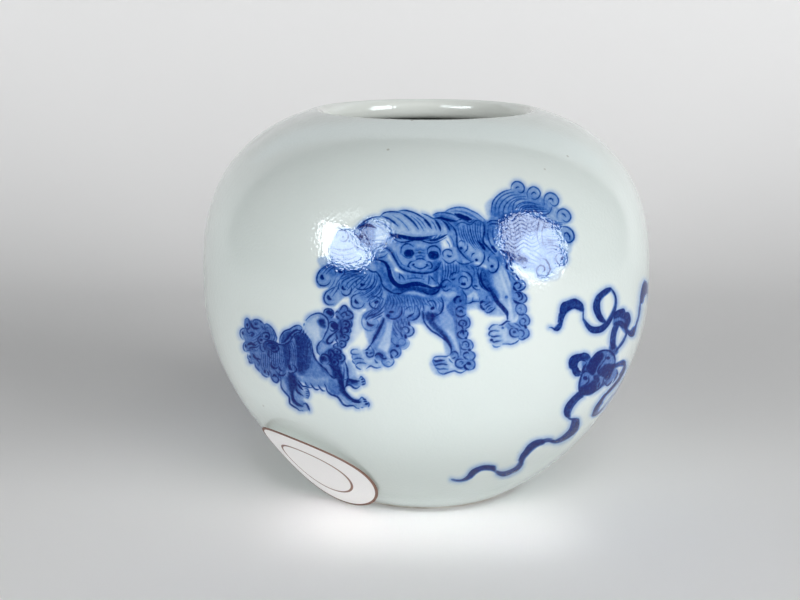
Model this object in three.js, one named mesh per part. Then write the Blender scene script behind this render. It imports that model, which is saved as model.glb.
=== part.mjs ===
// A calligraphy water pot of glazed porcelain: a low round jar, shaped like an apple, that holds the
// clean water for grinding ink. Millimetres, +Z up. The origin is the centre of the foot, on the table,
// and -Y is the painted front.
//
// The pot is thrown as a lower and an upper section, and the two are luted together with slip at the
// widest line. The inside is glazed first, then the outside and the lip, and last the recess under the
// foot. The foot ring itself stays bare. A round paper label is stuck low on the front left.

import * as THREE from "three";

// Overall form, measured over the glaze
const bellyRadius = 43.5;
const bellyHeight = 39.3;
const overallHeight = 73.8;
const shoulderPower = 2.74; // how square the shoulder is: 2 would be an ellipse
const lowerPower = 1.82; // how full the lower half is

// Mouth
const mouthRadius = 19.2;
const lipRound = 1.8;
const shoulderSlopeAtLip = THREE.MathUtils.degToRad(15);
const throatRound = 1.4; // the turned-in edge under the lip

// Walls and coats
const wallThickness = 3.9; // with both coats of glaze
const floorThickness = 4.8;
const glazeThickness = 0.4;
const slipThickness = 0.6;

// Foot ring and the recess inside it
const glazeLineRadius = 21.3; // where the outer glaze stops, above the bare ring
const glazeLineHeight = 0.8;
const footInset = 1.1; // from the glaze line to the edge that stands on the table
const footWidth = 2.8;
const footBevel = 0.4;
const recessDepth = 2.4;
const recessChamfer = 0.8;

// Paper label
const labelRadius = 12.5;
const labelThickness = 0.15;
const labelGap = 0.3; // from the glaze, at the label's middle
const labelBendRadius = 41.5;
const labelBendTilt = THREE.MathUtils.degToRad(-7);
const labelTurn = THREE.MathUtils.degToRad(-39.3); // round the pot from the front, towards -X
const labelHeight = 9.9; // of the label's middle above the table

// How finely the round forms are cut
const turnSteps = 48;
const shoulderSteps = 7;
const lowerSteps = 7;
const lipCrestSteps = 2;
const lipInsideSteps = 3;
const throatSteps = 2;
const labelSteps = 32;
const labelRings = 4;

const clay = new THREE.MeshStandardMaterial({
  color: 0xe9e4d8,
  roughness: 0.85,
  metalness: 0,
});
const glaze = new THREE.MeshStandardMaterial({
  color: 0xdde6e2,
  roughness: 0.08,
  metalness: 0,
});
const paper = new THREE.MeshStandardMaterial({
  color: 0xf1efee,
  roughness: 0.6,
  metalness: 0,
});

// A station is a point of the finished surface with its normal towards the air, so that the clay's
// surface under a coat is the same station moved in by the coat's thickness.
function station(r, z, normalR, normalZ) {
  const length = Math.hypot(normalR, normalZ);
  return { r, z, normalR: normalR / length, normalZ: normalZ / length };
}

// The profile that follows a run of stations at a depth under the finished surface
function atDepth(run, depth) {
  return run.map(
    ({ r, z, normalR, normalZ }) =>
      new THREE.Vector2(Math.max(r - depth * normalR, 0), z - depth * normalZ),
  );
}

// The half height of a superellipse that passes through a point this far above or below its middle
function halfHeight(radius, power, throughR, rise) {
  return rise / (1 - (throughR / radius) ** power) ** (1 / power);
}

// Stations on a quarter of a superellipse, from its widest line to the radius endR. It runs up for an
// upward of 1 and down for -1, and outward is 1 for an outside wall and -1 for an inside one.
function quarter(form, centreZ, upward, outward, endR, steps) {
  const { radius, height, power } = form;
  const lastAngle = Math.acos((endR / radius) ** (power / 2));
  return Array.from({ length: steps + 1 }, (_, i) => {
    const angle = (lastAngle * i) / steps;
    const r = i === steps ? endR : radius * Math.cos(angle) ** (2 / power);
    const rise = height * Math.sin(angle) ** (2 / power);
    const normalR = (r / radius) ** (power - 1) / radius;
    const normalZ = (rise / height) ** (power - 1) / height;
    return station(
      r,
      centreZ + upward * rise,
      outward * normalR,
      outward * upward * normalZ,
    );
  });
}

// Stations round an edge of the wall, between two angles of the normal above the horizontal
function roundEdge(centreR, centreZ, radius, fromAngle, toAngle, steps) {
  return Array.from({ length: steps + 1 }, (_, i) => {
    const angle = fromAngle + ((toAngle - fromAngle) * i) / steps;
    const [cos, sin] = [Math.cos(angle), Math.sin(angle)];
    return station(centreR + radius * cos, centreZ + radius * sin, cos, sin);
  });
}

// The slip lies between the halves, so each half of the form has its own middle height
const lowerMiddle = bellyHeight - slipThickness / 2;
const upperMiddle = bellyHeight + slipThickness / 2;

// Outside: the lower half down to the glaze line, the shoulder up to the lip, and over the lip
const lipCentreR = mouthRadius + lipRound;
const lipCentreZ = overallHeight - lipRound;
const lipCrest = roundEdge(
  lipCentreR,
  lipCentreZ,
  lipRound,
  Math.PI / 2 - shoulderSlopeAtLip,
  Math.PI / 2,
  lipCrestSteps,
);
const lowerForm = {
  radius: bellyRadius,
  power: lowerPower,
  height: halfHeight(
    bellyRadius,
    lowerPower,
    glazeLineRadius,
    lowerMiddle - glazeLineHeight,
  ),
};
const shoulderForm = {
  radius: bellyRadius,
  power: shoulderPower,
  height: halfHeight(
    bellyRadius,
    shoulderPower,
    lipCrest[0].r,
    lipCrest[0].z - upperMiddle,
  ),
};
const lowerOutside = quarter(
  lowerForm,
  lowerMiddle,
  -1,
  1,
  glazeLineRadius,
  lowerSteps,
);
const shoulderOutside = quarter(
  shoulderForm,
  upperMiddle,
  1,
  1,
  lipCrest[0].r,
  shoulderSteps,
);
const upperOutside = [...shoulderOutside, ...lipCrest.slice(1)];

// Inside: from the crest down the throat, under the shoulder, and down to the middle of the floor
const innerRadius = bellyRadius - wallThickness;
const innerShoulder = quarter(
  {
    radius: innerRadius,
    power: shoulderPower,
    height: shoulderForm.height - wallThickness,
  },
  upperMiddle,
  1,
  -1,
  mouthRadius + throatRound,
  shoulderSteps,
);
const throatEdge = roundEdge(
  mouthRadius + throatRound,
  innerShoulder[shoulderSteps].z + throatRound,
  throatRound,
  Math.PI,
  1.5 * Math.PI,
  throatSteps,
);
const lipInside = roundEdge(
  lipCentreR,
  lipCentreZ,
  lipRound,
  Math.PI / 2,
  Math.PI,
  lipInsideSteps,
);
const upperInside = [
  ...lipInside,
  ...throatEdge.slice(0, -1),
  ...innerShoulder.toReversed(),
];
const lowerInside = quarter(
  {
    radius: innerRadius,
    power: lowerPower,
    height: lowerMiddle - recessDepth - floorThickness,
  },
  lowerMiddle,
  -1,
  -1,
  0,
  lowerSteps,
);

// Under the foot: the ring's bare edges, and the recess at a depth under its glaze
const footRadius = glazeLineRadius - footInset;
const footInner = footRadius - footWidth;
const recessRadius = footInner - footBevel;
const bareRing = [
  new THREE.Vector2(footInner, 0),
  new THREE.Vector2(footRadius, 0),
];

function recess(depth) {
  const wall = recessRadius + depth;
  const ceiling = recessDepth + depth;
  return [
    new THREE.Vector2(0, ceiling),
    new THREE.Vector2(wall - recessChamfer, ceiling),
    new THREE.Vector2(wall, ceiling - recessChamfer),
    new THREE.Vector2(wall, glazeLineHeight),
  ];
}

// A solid of revolution. The profile runs anticlockwise, with the radius to the right and Z up.
function turned(name, material, profile) {
  const geometry = new THREE.LatheGeometry(profile, turnSteps);
  geometry.rotateX(Math.PI / 2);
  const mesh = new THREE.Mesh(geometry, material);
  mesh.name = name;
  return mesh;
}

function closed(profile) {
  return [...profile, profile[0]];
}

// The clay: two thrown sections and the slip that joins them
const lowerSection = turned("lower_section", clay, [
  ...recess(glazeThickness),
  ...bareRing,
  ...atDepth(lowerOutside.toReversed(), glazeThickness),
  ...atDepth(lowerInside, glazeThickness),
]);
const upperSection = turned(
  "upper_section",
  clay,
  closed([
    ...atDepth(upperOutside, glazeThickness),
    ...atDepth(upperInside.slice(1), glazeThickness),
  ]),
);
const slipOuter = bellyRadius - glazeThickness;
const slipInner = innerRadius + glazeThickness;
const lutingSlip = turned(
  "luting_slip",
  clay,
  closed([
    new THREE.Vector2(slipInner, lowerMiddle),
    new THREE.Vector2(slipOuter, lowerMiddle),
    new THREE.Vector2(slipOuter, upperMiddle),
    new THREE.Vector2(slipInner, upperMiddle),
  ]),
);

// The coats of glaze: each runs out along the finished surface and back along the clay
const outsideRun = [...lowerOutside.toReversed(), ...upperOutside];
const outerGlaze = turned(
  "outer_glaze",
  glaze,
  closed([
    ...atDepth(outsideRun, 0),
    ...atDepth(outsideRun, glazeThickness).reverse(),
  ]),
);
const insideRun = [...upperInside, ...lowerInside];
const innerGlaze = turned("inner_glaze", glaze, [
  ...atDepth(insideRun, glazeThickness).reverse(),
  ...atDepth(insideRun, 0),
]);
const baseGlaze = turned("base_glaze", glaze, [
  ...recess(0),
  ...recess(glazeThickness).reverse(),
]);

// The label is a disc bent round one line, so a ring of it is a circle rolled onto a cylinder.
// x runs round the bend, y along its axis, and z out from the pot.
function labelGeometry() {
  const positions = [];
  const index = [];
  const faceSize = 1 + labelRings * labelSteps;
  for (const lift of [labelGap, labelGap + labelThickness]) {
    positions.push(0, 0, lift);
    for (let ring = 1; ring <= labelRings; ring++) {
      for (let step = 0; step < labelSteps; step++) {
        const angle = (2 * Math.PI * step) / labelSteps;
        const reach = (labelRadius * ring) / labelRings;
        const bend = (reach * Math.cos(angle)) / labelBendRadius;
        positions.push(
          (labelBendRadius + lift) * Math.sin(bend),
          reach * Math.sin(angle),
          (labelBendRadius + lift) * Math.cos(bend) - labelBendRadius,
        );
      }
    }
  }
  const at = (face, ring, step) =>
    face * faceSize + 1 + (ring - 1) * labelSteps + (step % labelSteps);
  const quad = (a, b, c, d) => index.push(a, b, c, a, c, d);
  for (let step = 0; step < labelSteps; step++) {
    index.push(0, at(0, 1, step + 1), at(0, 1, step));
    index.push(faceSize, at(1, 1, step), at(1, 1, step + 1));
    for (let ring = 1; ring < labelRings; ring++) {
      quad(
        at(0, ring, step),
        at(0, ring, step + 1),
        at(0, ring + 1, step + 1),
        at(0, ring + 1, step),
      );
      quad(
        at(1, ring, step),
        at(1, ring + 1, step),
        at(1, ring + 1, step + 1),
        at(1, ring, step + 1),
      );
    }
    quad(
      at(0, labelRings, step),
      at(0, labelRings, step + 1),
      at(1, labelRings, step + 1),
      at(1, labelRings, step),
    );
  }
  const geometry = new THREE.BufferGeometry();
  geometry.setAttribute(
    "position",
    new THREE.Float32BufferAttribute(positions, 3),
  );
  geometry.setIndex(index);
  geometry.computeVertexNormals();
  return geometry;
}

// The label's seat: the point of the lower half at the label's height, facing out and down
const seatDrop = lowerMiddle - labelHeight;
const seatR =
  bellyRadius *
  (1 - (seatDrop / lowerForm.height) ** lowerPower) ** (1 / lowerPower);
const seatNormalR = (seatR / bellyRadius) ** (lowerPower - 1) / bellyRadius;
const seatNormalDown =
  (seatDrop / lowerForm.height) ** (lowerPower - 1) / lowerForm.height;

const inventoryLabel = new THREE.Mesh(labelGeometry(), paper);
inventoryLabel.name = "inventory_label";
inventoryLabel.rotation.z = labelBendTilt;
const labelSeat = new THREE.Group();
labelSeat.position.set(0, -seatR, labelHeight);
labelSeat.rotation.x = Math.PI / 2 + Math.atan2(seatNormalDown, seatNormalR);
labelSeat.add(inventoryLabel);
const labelPlace = new THREE.Group();
labelPlace.rotation.z = labelTurn;
labelPlace.add(labelSeat);

const pot = new THREE.Group();
pot.add(
  lowerSection,
  lutingSlip,
  upperSection,
  innerGlaze,
  outerGlaze,
  baseGlaze,
  labelPlace,
);
export default pot;
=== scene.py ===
"""The looks of a calligraphy water pot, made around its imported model.

The pot is a low globe of porcelain with a small rolled mouth, clear-glazed and painted in cobalt blue.
Everything is in metres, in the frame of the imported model: the origin is the middle of the foot on the
table, +Z is up and -Y is the painted front.
"""

import logging
from dataclasses import dataclass, fields
from enum import Enum

import bpy
import numpy as np
from mathutils import Matrix, Vector


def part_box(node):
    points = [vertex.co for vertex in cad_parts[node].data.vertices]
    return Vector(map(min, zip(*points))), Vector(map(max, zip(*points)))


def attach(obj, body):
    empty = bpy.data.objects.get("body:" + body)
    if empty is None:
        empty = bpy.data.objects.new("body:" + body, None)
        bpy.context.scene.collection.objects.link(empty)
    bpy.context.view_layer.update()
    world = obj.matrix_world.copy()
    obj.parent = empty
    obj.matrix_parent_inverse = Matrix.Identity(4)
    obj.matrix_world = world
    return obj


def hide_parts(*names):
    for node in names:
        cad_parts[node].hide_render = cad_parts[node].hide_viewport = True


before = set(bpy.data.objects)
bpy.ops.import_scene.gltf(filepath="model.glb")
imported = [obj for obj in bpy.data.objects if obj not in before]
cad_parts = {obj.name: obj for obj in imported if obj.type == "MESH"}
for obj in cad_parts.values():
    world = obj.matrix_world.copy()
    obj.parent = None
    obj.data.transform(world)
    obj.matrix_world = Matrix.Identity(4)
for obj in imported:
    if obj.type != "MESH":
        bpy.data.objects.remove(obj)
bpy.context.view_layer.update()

MM = 0.001
FULL_TURN = 2 * np.pi
BODY = "root"
COBALT = "cobalt"  # the vertex attribute that holds how much cobalt lies under the glaze
REACH = "reach"  # the vertex attribute that holds a point's distance from the label's middle
CHART = "OFBake"  # the UV map of the painted sheets
SHARP = np.radians(35)  # corners sharper than this aren't smoothed
TINY = 1e-9  # a radius or a squared length that counts as nothing
Colour = tuple[float, float, float]
Points = tuple[tuple[float, float], ...]
LOG = logging.getLogger("water_pot")


class Slot(Enum):
    """The record's material slots."""

    PORCELAIN = "bare_porcelain"
    GLAZE = "glaze"
    PAPER = "label_paper"


class Wire:
    """A shader socket that can be used in Python sums: each sum adds its own Math node."""

    def __init__(self, shader: "Shader", socket: bpy.types.NodeSocket) -> None:
        """Wraps a socket.

        Args:
            shader: the material that the socket belongs to.
            socket: an output socket of one of its nodes.
        """
        self.shader = shader
        self.socket = socket

    def math(self, operation: str, *values: "Wire | float") -> "Wire":
        """Adds a Math node.

        Args:
            operation: the Math node's operation.
            values: its inputs in order.

        Returns:
            The node's result.
        """
        return self.shader.node("ShaderNodeMath", {"operation": operation}, dict(enumerate(values)))

    def __add__(self, other: "Wire | float") -> "Wire":
        """Adds a wire or a number."""
        return self.math("ADD", self, other)

    __radd__ = __add__

    def __sub__(self, other: "Wire | float") -> "Wire":
        """Takes a wire or a number away."""
        return self.math("SUBTRACT", self, other)

    def __mul__(self, other: "Wire | float") -> "Wire":
        """Multiplies by a wire or a number."""
        return self.math("MULTIPLY", self, other)

    __rmul__ = __mul__

    def smoothstep(self, low: float, high: float) -> "Wire":
        """Runs smoothly from 0 at low to 1 at high, or the other way round where high is the smaller.

        Args:
            low: the value that gives 0.
            high: the value that gives 1.

        Returns:
            The smoothed share.
        """
        ends = {"Value": self, "From Min": low, "From Max": high}
        return self.shader.node("ShaderNodeMapRange", {"interpolation_type": "SMOOTHSTEP"}, ends)


class Shader:
    """A material's node tree, filled node by node."""

    def __init__(self, name: str) -> None:
        """Starts an empty material.

        Args:
            name: the material's name.
        """
        self.material = bpy.data.materials.new(name)
        self.material.use_nodes = True
        self.tree = self.material.node_tree
        self.tree.nodes.clear()

    def node(self, kind: str, settings: dict | None = None, sockets: dict | None = None,
             output: int | str = 0) -> Wire:
        """Adds one node.

        Args:
            kind: the node's type name.
            settings: its properties, with "stops" for a colour ramp's places and colours.
            sockets: the numbers, colours or wires of its inputs, by name or number.
            output: the output that is wanted, by name or number.

        Returns:
            That output as a wire.
        """
        made = self.tree.nodes.new(kind)
        for key, value in (settings or {}).items():
            if key == "stops":
                self._set_stops(made.color_ramp, value)
            else:
                setattr(made, key, value)
        for key, value in (sockets or {}).items():
            if isinstance(value, Wire):
                self.tree.links.new(value.socket, made.inputs[key])
            else:
                made.inputs[key].default_value = value
        return Wire(self, made.outputs[output])

    @staticmethod
    def _set_stops(ramp: bpy.types.ColorRamp, stops: tuple) -> None:
        """Sets a colour ramp's stops.

        Args:
            ramp: the ramp, which has two stops when it is new.
            stops: pairs of a place and a colour.
        """
        for _ in stops[2:]:
            ramp.elements.new(0.5)
        for element, (place, colour) in zip(ramp.elements, stops):
            element.position = place
            element.color = (*colour, 1.0)

    def place(self) -> Wire:
        """The point's own place in the pot's frame."""
        return self.node("ShaderNodeTexCoord", output="Object")

    def noise(self, size: float, detail: float = 2.0, roughness: float = 0.5) -> Wire:
        """Soft random variation.

        Args:
            size: how far apart its lumps lie, in metres.
            detail: how many finer layers it has.
            roughness: how strong the finer layers are.

        Returns:
            A value that is mostly between 0.3 and 0.7.
        """
        inputs = {"Vector": self.place(), "Scale": 1 / size, "Detail": detail, "Roughness": roughness}
        return self.node("ShaderNodeTexNoise", {}, inputs, "Fac")

    def blend(self, share: Wire | float, first: "Wire | Colour", second: "Wire | Colour",
              kind: str = "MIX") -> Wire:
        """Mixes two colours.

        Args:
            share: 0 for the first and 1 for the second.
            first: an RGB colour or a wire.
            second: an RGB colour or a wire.
            kind: how the second is laid over the first.

        Returns:
            The mixed colour.
        """
        ends = [end if isinstance(end, Wire) else (*end, 1.0) for end in (first, second)]
        inputs = {0: share, 6: ends[0], 7: ends[1]}  # 6 and 7 are the node's colour sockets
        return self.node("ShaderNodeMix", {"data_type": "RGBA", "blend_type": kind}, inputs, 2)

    def bump(self, height: Wire, depth: float) -> Wire:
        """Turns a height into a bumpy normal.

        Args:
            height: the height as a share of depth.
            depth: the real height of 1, in metres.

        Returns:
            The normal.
        """
        inputs = {"Height": height, "Distance": depth, "Strength": 1.0}
        return self.node("ShaderNodeBump", {}, inputs, "Normal")

    def coat(self, **sockets: "Wire | float | tuple") -> Wire:
        """Adds a Principled shader.

        Args:
            sockets: its inputs, with underscores for the spaces in their names.

        Returns:
            The shader, to be mixed or to end the tree.
        """
        inputs = {name.replace("_", " "): value for name, value in sockets.items()}
        return self.node("ShaderNodeBsdfPrincipled", {}, inputs)

    def finish(self, shade: Wire) -> bpy.types.Material:
        """Sends a shader to the material's output.

        Args:
            shade: the shader.

        Returns:
            The finished material.
        """
        out = self.tree.nodes.new("ShaderNodeOutputMaterial")
        self.tree.links.new(shade.socket, out.inputs["Surface"])
        return self.material

    def surface(self, **sockets: "Wire | float | tuple") -> bpy.types.Material:
        """Ends the tree in one Principled shader.

        Args:
            sockets: its inputs, with underscores for the spaces in their names.

        Returns:
            The finished material.
        """
        return self.finish(self.coat(**sockets))


def grey(value: float) -> Colour:
    """The grey of this value."""
    return (value, value, value)


@dataclass(frozen=True)
class GlazeFinish:
    """Clear glaze over white porcelain, blue-painted where the cobalt attribute is above 0, with painted
    shade low on the pot and, when shaded, below the lip.
    """

    name: str = "clear_glaze"
    pale: Colour = (0.78, 0.84, 0.82)
    green: Colour = (0.735, 0.815, 0.79)
    cloud_size: float = 14 * MM  # of the drift between the two
    foot: Colour = (0.57, 0.625, 0.60)  # painted shade over the lower belly, towards the foot
    foot_from: tuple[float, float] = (27 * MM, 10 * MM)  # the heights between which the painted shade deepens downwards
    foot_to: tuple[float, float] = (1 * MM, 6 * MM)  # and those between which the painted shade fades out again just above the table
    speck: Colour = (0.36, 0.35, 0.30)
    speck_cell: float = 7 * MM
    speck_edge: tuple[float, float] = (0.05, 0.02)  # shares of a cell from its middle
    speck_share: float = 0.6
    mottle_size: float = 0.5 * MM
    thinnest: float = 0.58  # how much cobalt a stroke keeps at least
    mottling: float = 0.92  # and how much more its mottle adds
    stains: tuple[tuple[float, Colour], ...] = (
        (0.0, (1.0, 1.0, 1.0)),
        (0.15, (0.55, 0.66, 0.90)),
        (0.3, (0.28, 0.42, 0.76)),
        (0.45, (0.13, 0.27, 0.67)),
        (0.6, (0.042, 0.15, 0.53)),
        (0.8, (0.006, 0.05, 0.30)),
        (1.0, (0.001, 0.012, 0.165)),
    )
    roughness: float = 0.05
    gloss: float = 1.6  # the index of refraction
    dull: float = 1.25  # the same over thick cobalt, which takes some of the gloss away
    thick: tuple[float, float] = (0.6, 0.95)  # how much cobalt begins and ends that
    peel_size: float = 1.3 * MM
    peel_depth: float = 0.02 * MM
    pit_size: float = 0.5 * MM
    pit_depth: float = 0.03 * MM
    shaded: bool = False  # painted shade that deepens below the lip, for the inside
    # the painted shade's colour deep inside, reached between the two heights below
    shade: Colour = (0.26, 0.29, 0.26)
    shade_heights: tuple[float, float] = (57 * MM, 65 * MM)

    def ground(self, shader: Shader) -> Wire:
        """The glaze's colour under the cobalt: its clouds and specks, with painted shade over the lower
        belly and, when shaded, below the lip.

        Args:
            shader: the material's tree.

        Returns:
            The colour.
        """
        colour = shader.blend(shader.noise(self.cloud_size), self.pale, self.green)
        inputs = {"Vector": shader.place(), "Scale": 1 / self.speck_cell}
        off = shader.node("ShaderNodeTexVoronoi", {}, inputs, "Distance")
        speck = off.smoothstep(*self.speck_edge) * self.speck_share
        colour = shader.blend(speck, colour, self.speck)
        height = shader.node("ShaderNodeSeparateXYZ", {}, {0: shader.place()}, "Z")
        # painted shade: darker over the lower belly, fading out again just above the table
        painted_low_shade = height.smoothstep(*self.foot_from) * height.smoothstep(*self.foot_to)
        colour = shader.blend(painted_low_shade, colour, self.foot)
        # painted shade: the inside darkens below the lip
        if self.shaded:
            colour = shader.blend(height.smoothstep(*self.shade_heights), self.shade, colour)
        return colour

    def make(self) -> bpy.types.Material:
        """Builds the glaze.

        Returns:
            A glassy material whose colour follows the cobalt under it.
        """
        shader = Shader(self.name)
        cobalt = shader.node("ShaderNodeAttribute", {"attribute_name": COBALT}, {}, "Fac")
        mottle = shader.noise(self.mottle_size, detail=4.0, roughness=0.6)
        density = cobalt * (self.thinnest + self.mottling * mottle)
        stain = shader.node("ShaderNodeValToRGB", {"stops": self.stains}, {0: density}, "Color")
        peel = shader.noise(self.peel_size, detail=1.0) * self.peel_depth
        pits = shader.noise(self.pit_size, detail=1.0) * self.pit_depth
        same = {
            "Base_Color": shader.blend(1.0, self.ground(shader), stain, "MULTIPLY"),
            "Roughness": self.roughness,
            "Normal": shader.bump((peel + pits) * (1 / MM), MM),
        }
        clear = shader.coat(**same, IOR=self.gloss)
        sunken = shader.coat(**same, IOR=self.dull)
        share = density.smoothstep(*self.thick)
        return shader.finish(shader.node("ShaderNodeMixShader", {}, {0: share, 1: clear, 2: sunken}))


@dataclass(frozen=True)
class ClayFinish:
    """Bare fired porcelain: matt, warm white and finely gritty."""

    name: str = "bare_porcelain"
    pale: Colour = (0.56, 0.55, 0.51)
    stained: Colour = (0.36, 0.33, 0.28)
    stain_size: float = 3 * MM
    stain_edge: tuple[float, float] = (0.45, 0.75)
    grit_size: float = 0.25 * MM
    grit_depth: float = 0.03 * MM
    roughness: float = 0.85

    def make(self) -> bpy.types.Material:
        """Builds the bare clay.

        Returns:
            A matt material with fine grit and faint stains.
        """
        shader = Shader(self.name)
        stain = shader.noise(self.stain_size, detail=4.0).smoothstep(*self.stain_edge)
        colour = shader.blend(stain, self.pale, self.stained)
        grit = shader.noise(self.grit_size, detail=4.0, roughness=0.7)
        normal = shader.bump(grit, self.grit_depth)
        return shader.surface(Base_Color=colour, Roughness=self.roughness, Normal=normal)


@dataclass(frozen=True)
class PaperFinish:
    """White label paper with two printed rings."""

    radius: float
    name: str = "label_paper"
    white: Colour = (0.93, 0.90, 0.89)
    fibre: Colour = grey(0.84)
    fibre_size: float = 0.4 * MM
    fibre_depth: float = 0.01 * MM
    ink: Colour = (0.19, 0.085, 0.055)
    border: float = 0.55 * MM
    border_edge: float = 0.06 * MM
    ring_share: float = 0.6  # the inner ring's radius as a share of the label's
    ring_edge: tuple[float, float] = (0.30 * MM, 0.18 * MM)
    roughness: float = 0.55

    def make(self) -> bpy.types.Material:
        """Builds the printed paper.

        Returns:
            A matt material whose rings follow the distance from the label's middle.
        """
        shader = Shader(self.name)
        reach = shader.node("ShaderNodeAttribute", {"attribute_name": REACH}, {}, "Fac")
        inner = self.radius - self.border
        border = reach.smoothstep(inner - self.border_edge, inner + self.border_edge)
        off = reach - self.radius * self.ring_share
        ring = off.math("ABSOLUTE", off).smoothstep(*self.ring_edge)
        printed = border.math("MAXIMUM", border, ring)
        fibres = shader.noise(self.fibre_size, detail=4.0)
        paper = shader.blend(fibres, self.white, self.fibre)
        colour = shader.blend(printed, paper, self.ink)
        normal = shader.bump(fibres, self.fibre_depth)
        return shader.surface(Base_Color=colour, Roughness=self.roughness, Normal=normal)


@dataclass(frozen=True)
class TableFinish:
    """A plain matt grey, hardly clouded, for what the pot stands on."""

    name: str
    value: float
    cloud_size: float = 0.4
    cloud: float = 1.04  # how much lighter its clouds are
    roughness: float = 0.9

    def make(self) -> bpy.types.Material:
        """Builds the matt grey."""
        shader = Shader(self.name)
        clouds = shader.noise(self.cloud_size)
        colour = shader.blend(clouds, grey(self.value), grey(self.value * self.cloud))
        return shader.surface(Base_Color=colour, Roughness=self.roughness)


def mesh_piece(name: str, points: np.ndarray, faces: np.ndarray, material: bpy.types.Material,
               values: dict[str, np.ndarray] | None = None,
               chart: np.ndarray | None = None) -> bpy.types.Object:
    """Makes an object from whole arrays. A face whose last two corners agree is a triangle.

    Args:
        name: the object's name.
        points: one row of x, y, z for each vertex, in metres.
        faces: one row of four vertex numbers for each face.
        material: the finish of all its faces.
        values: vertex attributes by name.
        chart: each vertex's place in the piece's own UV map, or None for no map.

    Returns:
        The smooth-shaded object at the origin.
    """
    used, faces = np.unique(faces, return_inverse=True)
    faces = faces.reshape(-1, 4)
    points = points[used]
    triangle = faces[:, 2] == faces[:, 3]
    sides = np.where(triangle, 3, 4)
    corners = np.ones(faces.shape, bool)
    corners[triangle, 3] = False
    loops = faces[corners]
    mesh = bpy.data.meshes.new(name)
    mesh.vertices.add(len(points))
    mesh.vertices.foreach_set("co", points.astype(np.float32).ravel())
    mesh.loops.add(len(loops))
    mesh.loops.foreach_set("vertex_index", loops.astype(np.int32))
    mesh.polygons.add(len(faces))
    starts = np.concatenate([[0], np.cumsum(sides)[:-1]])
    mesh.polygons.foreach_set("loop_start", starts.astype(np.int32))
    mesh.update(calc_edges=True)
    mesh.validate()
    for key, value in (values or {}).items():
        attribute = mesh.attributes.new(key, "FLOAT", "POINT")
        attribute.data.foreach_set("value", value.ravel()[used].astype(np.float32))
    if chart is not None:
        layer = mesh.uv_layers.new(name=CHART)
        layer.data.foreach_set("uv", chart[used][loops].astype(np.float32).ravel())
    mesh.shade_smooth()
    mesh.set_sharp_from_angle(angle=SHARP)
    mesh.materials.append(material)
    piece = bpy.data.objects.new(name, mesh)
    bpy.context.collection.objects.link(piece)
    return piece


def grid_faces(numbers: np.ndarray) -> np.ndarray:
    """The faces of a grid of vertex numbers.

    Args:
        numbers: vertex numbers in rows and columns; a row of one number is a pole.

    Returns:
        Four numbers a face, a pole's triangles with the last one twice, and empty faces left out.
    """
    a, b = numbers[:-1, :-1], numbers[:-1, 1:]
    c, d = numbers[1:, 1:], numbers[1:, :-1]
    faces = np.stack([a, b, c, d], -1).reshape(-1, 4)
    first_pole = faces[:, 0] == faces[:, 1]
    faces[first_pole] = faces[first_pole][:, [0, 2, 3, 3]]
    return faces[(faces[:, 0] != faces[:, 1]) & (faces[:, 1] != faces[:, 2])]


def turned_solid(name: str, outline: np.ndarray, steps: int,
                 material: bpy.types.Material) -> bpy.types.Object:
    """Turns a closed outline round the pot's axis: x = r sin a, y = -r cos a, z = z.

    Args:
        name: the piece's name.
        outline: rows of r and z, anticlockwise; it closes on itself or begins and ends on the axis.
        steps: how many steps go round.
        material: its finish.

    Returns:
        The piece, closed and facing outwards.
    """
    poles = outline[:, 0] < TINY
    points = around(outline[:, 0], outline[:, 1], np.arange(steps) * FULL_TURN / steps)
    numbers = np.arange(len(outline) * steps).reshape(-1, steps)
    numbers[poles] = numbers[poles, :1]
    numbers = np.concatenate([numbers, numbers[:, :1]], 1)
    if not (poles[0] and poles[-1]):
        numbers = np.concatenate([numbers, numbers[:1]])
    return mesh_piece(name, points.reshape(-1, 3), grid_faces(numbers.T[::-1].T), material)


def around(r: np.ndarray, z: np.ndarray, angle: np.ndarray) -> np.ndarray:
    """Turns a profile round the pot's axis: x = r sin a, y = -r cos a, z = z.

    Args:
        r: the radii.
        z: the heights.
        angle: the turns from the front, towards +X, in radians.

    Returns:
        x, y, z in the last axis, with a row for each radius and a column for each angle.
    """
    r, z = r[:, None], z[:, None]
    return np.stack([r * np.sin(angle), -r * np.cos(angle), z + 0 * angle], -1)


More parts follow.
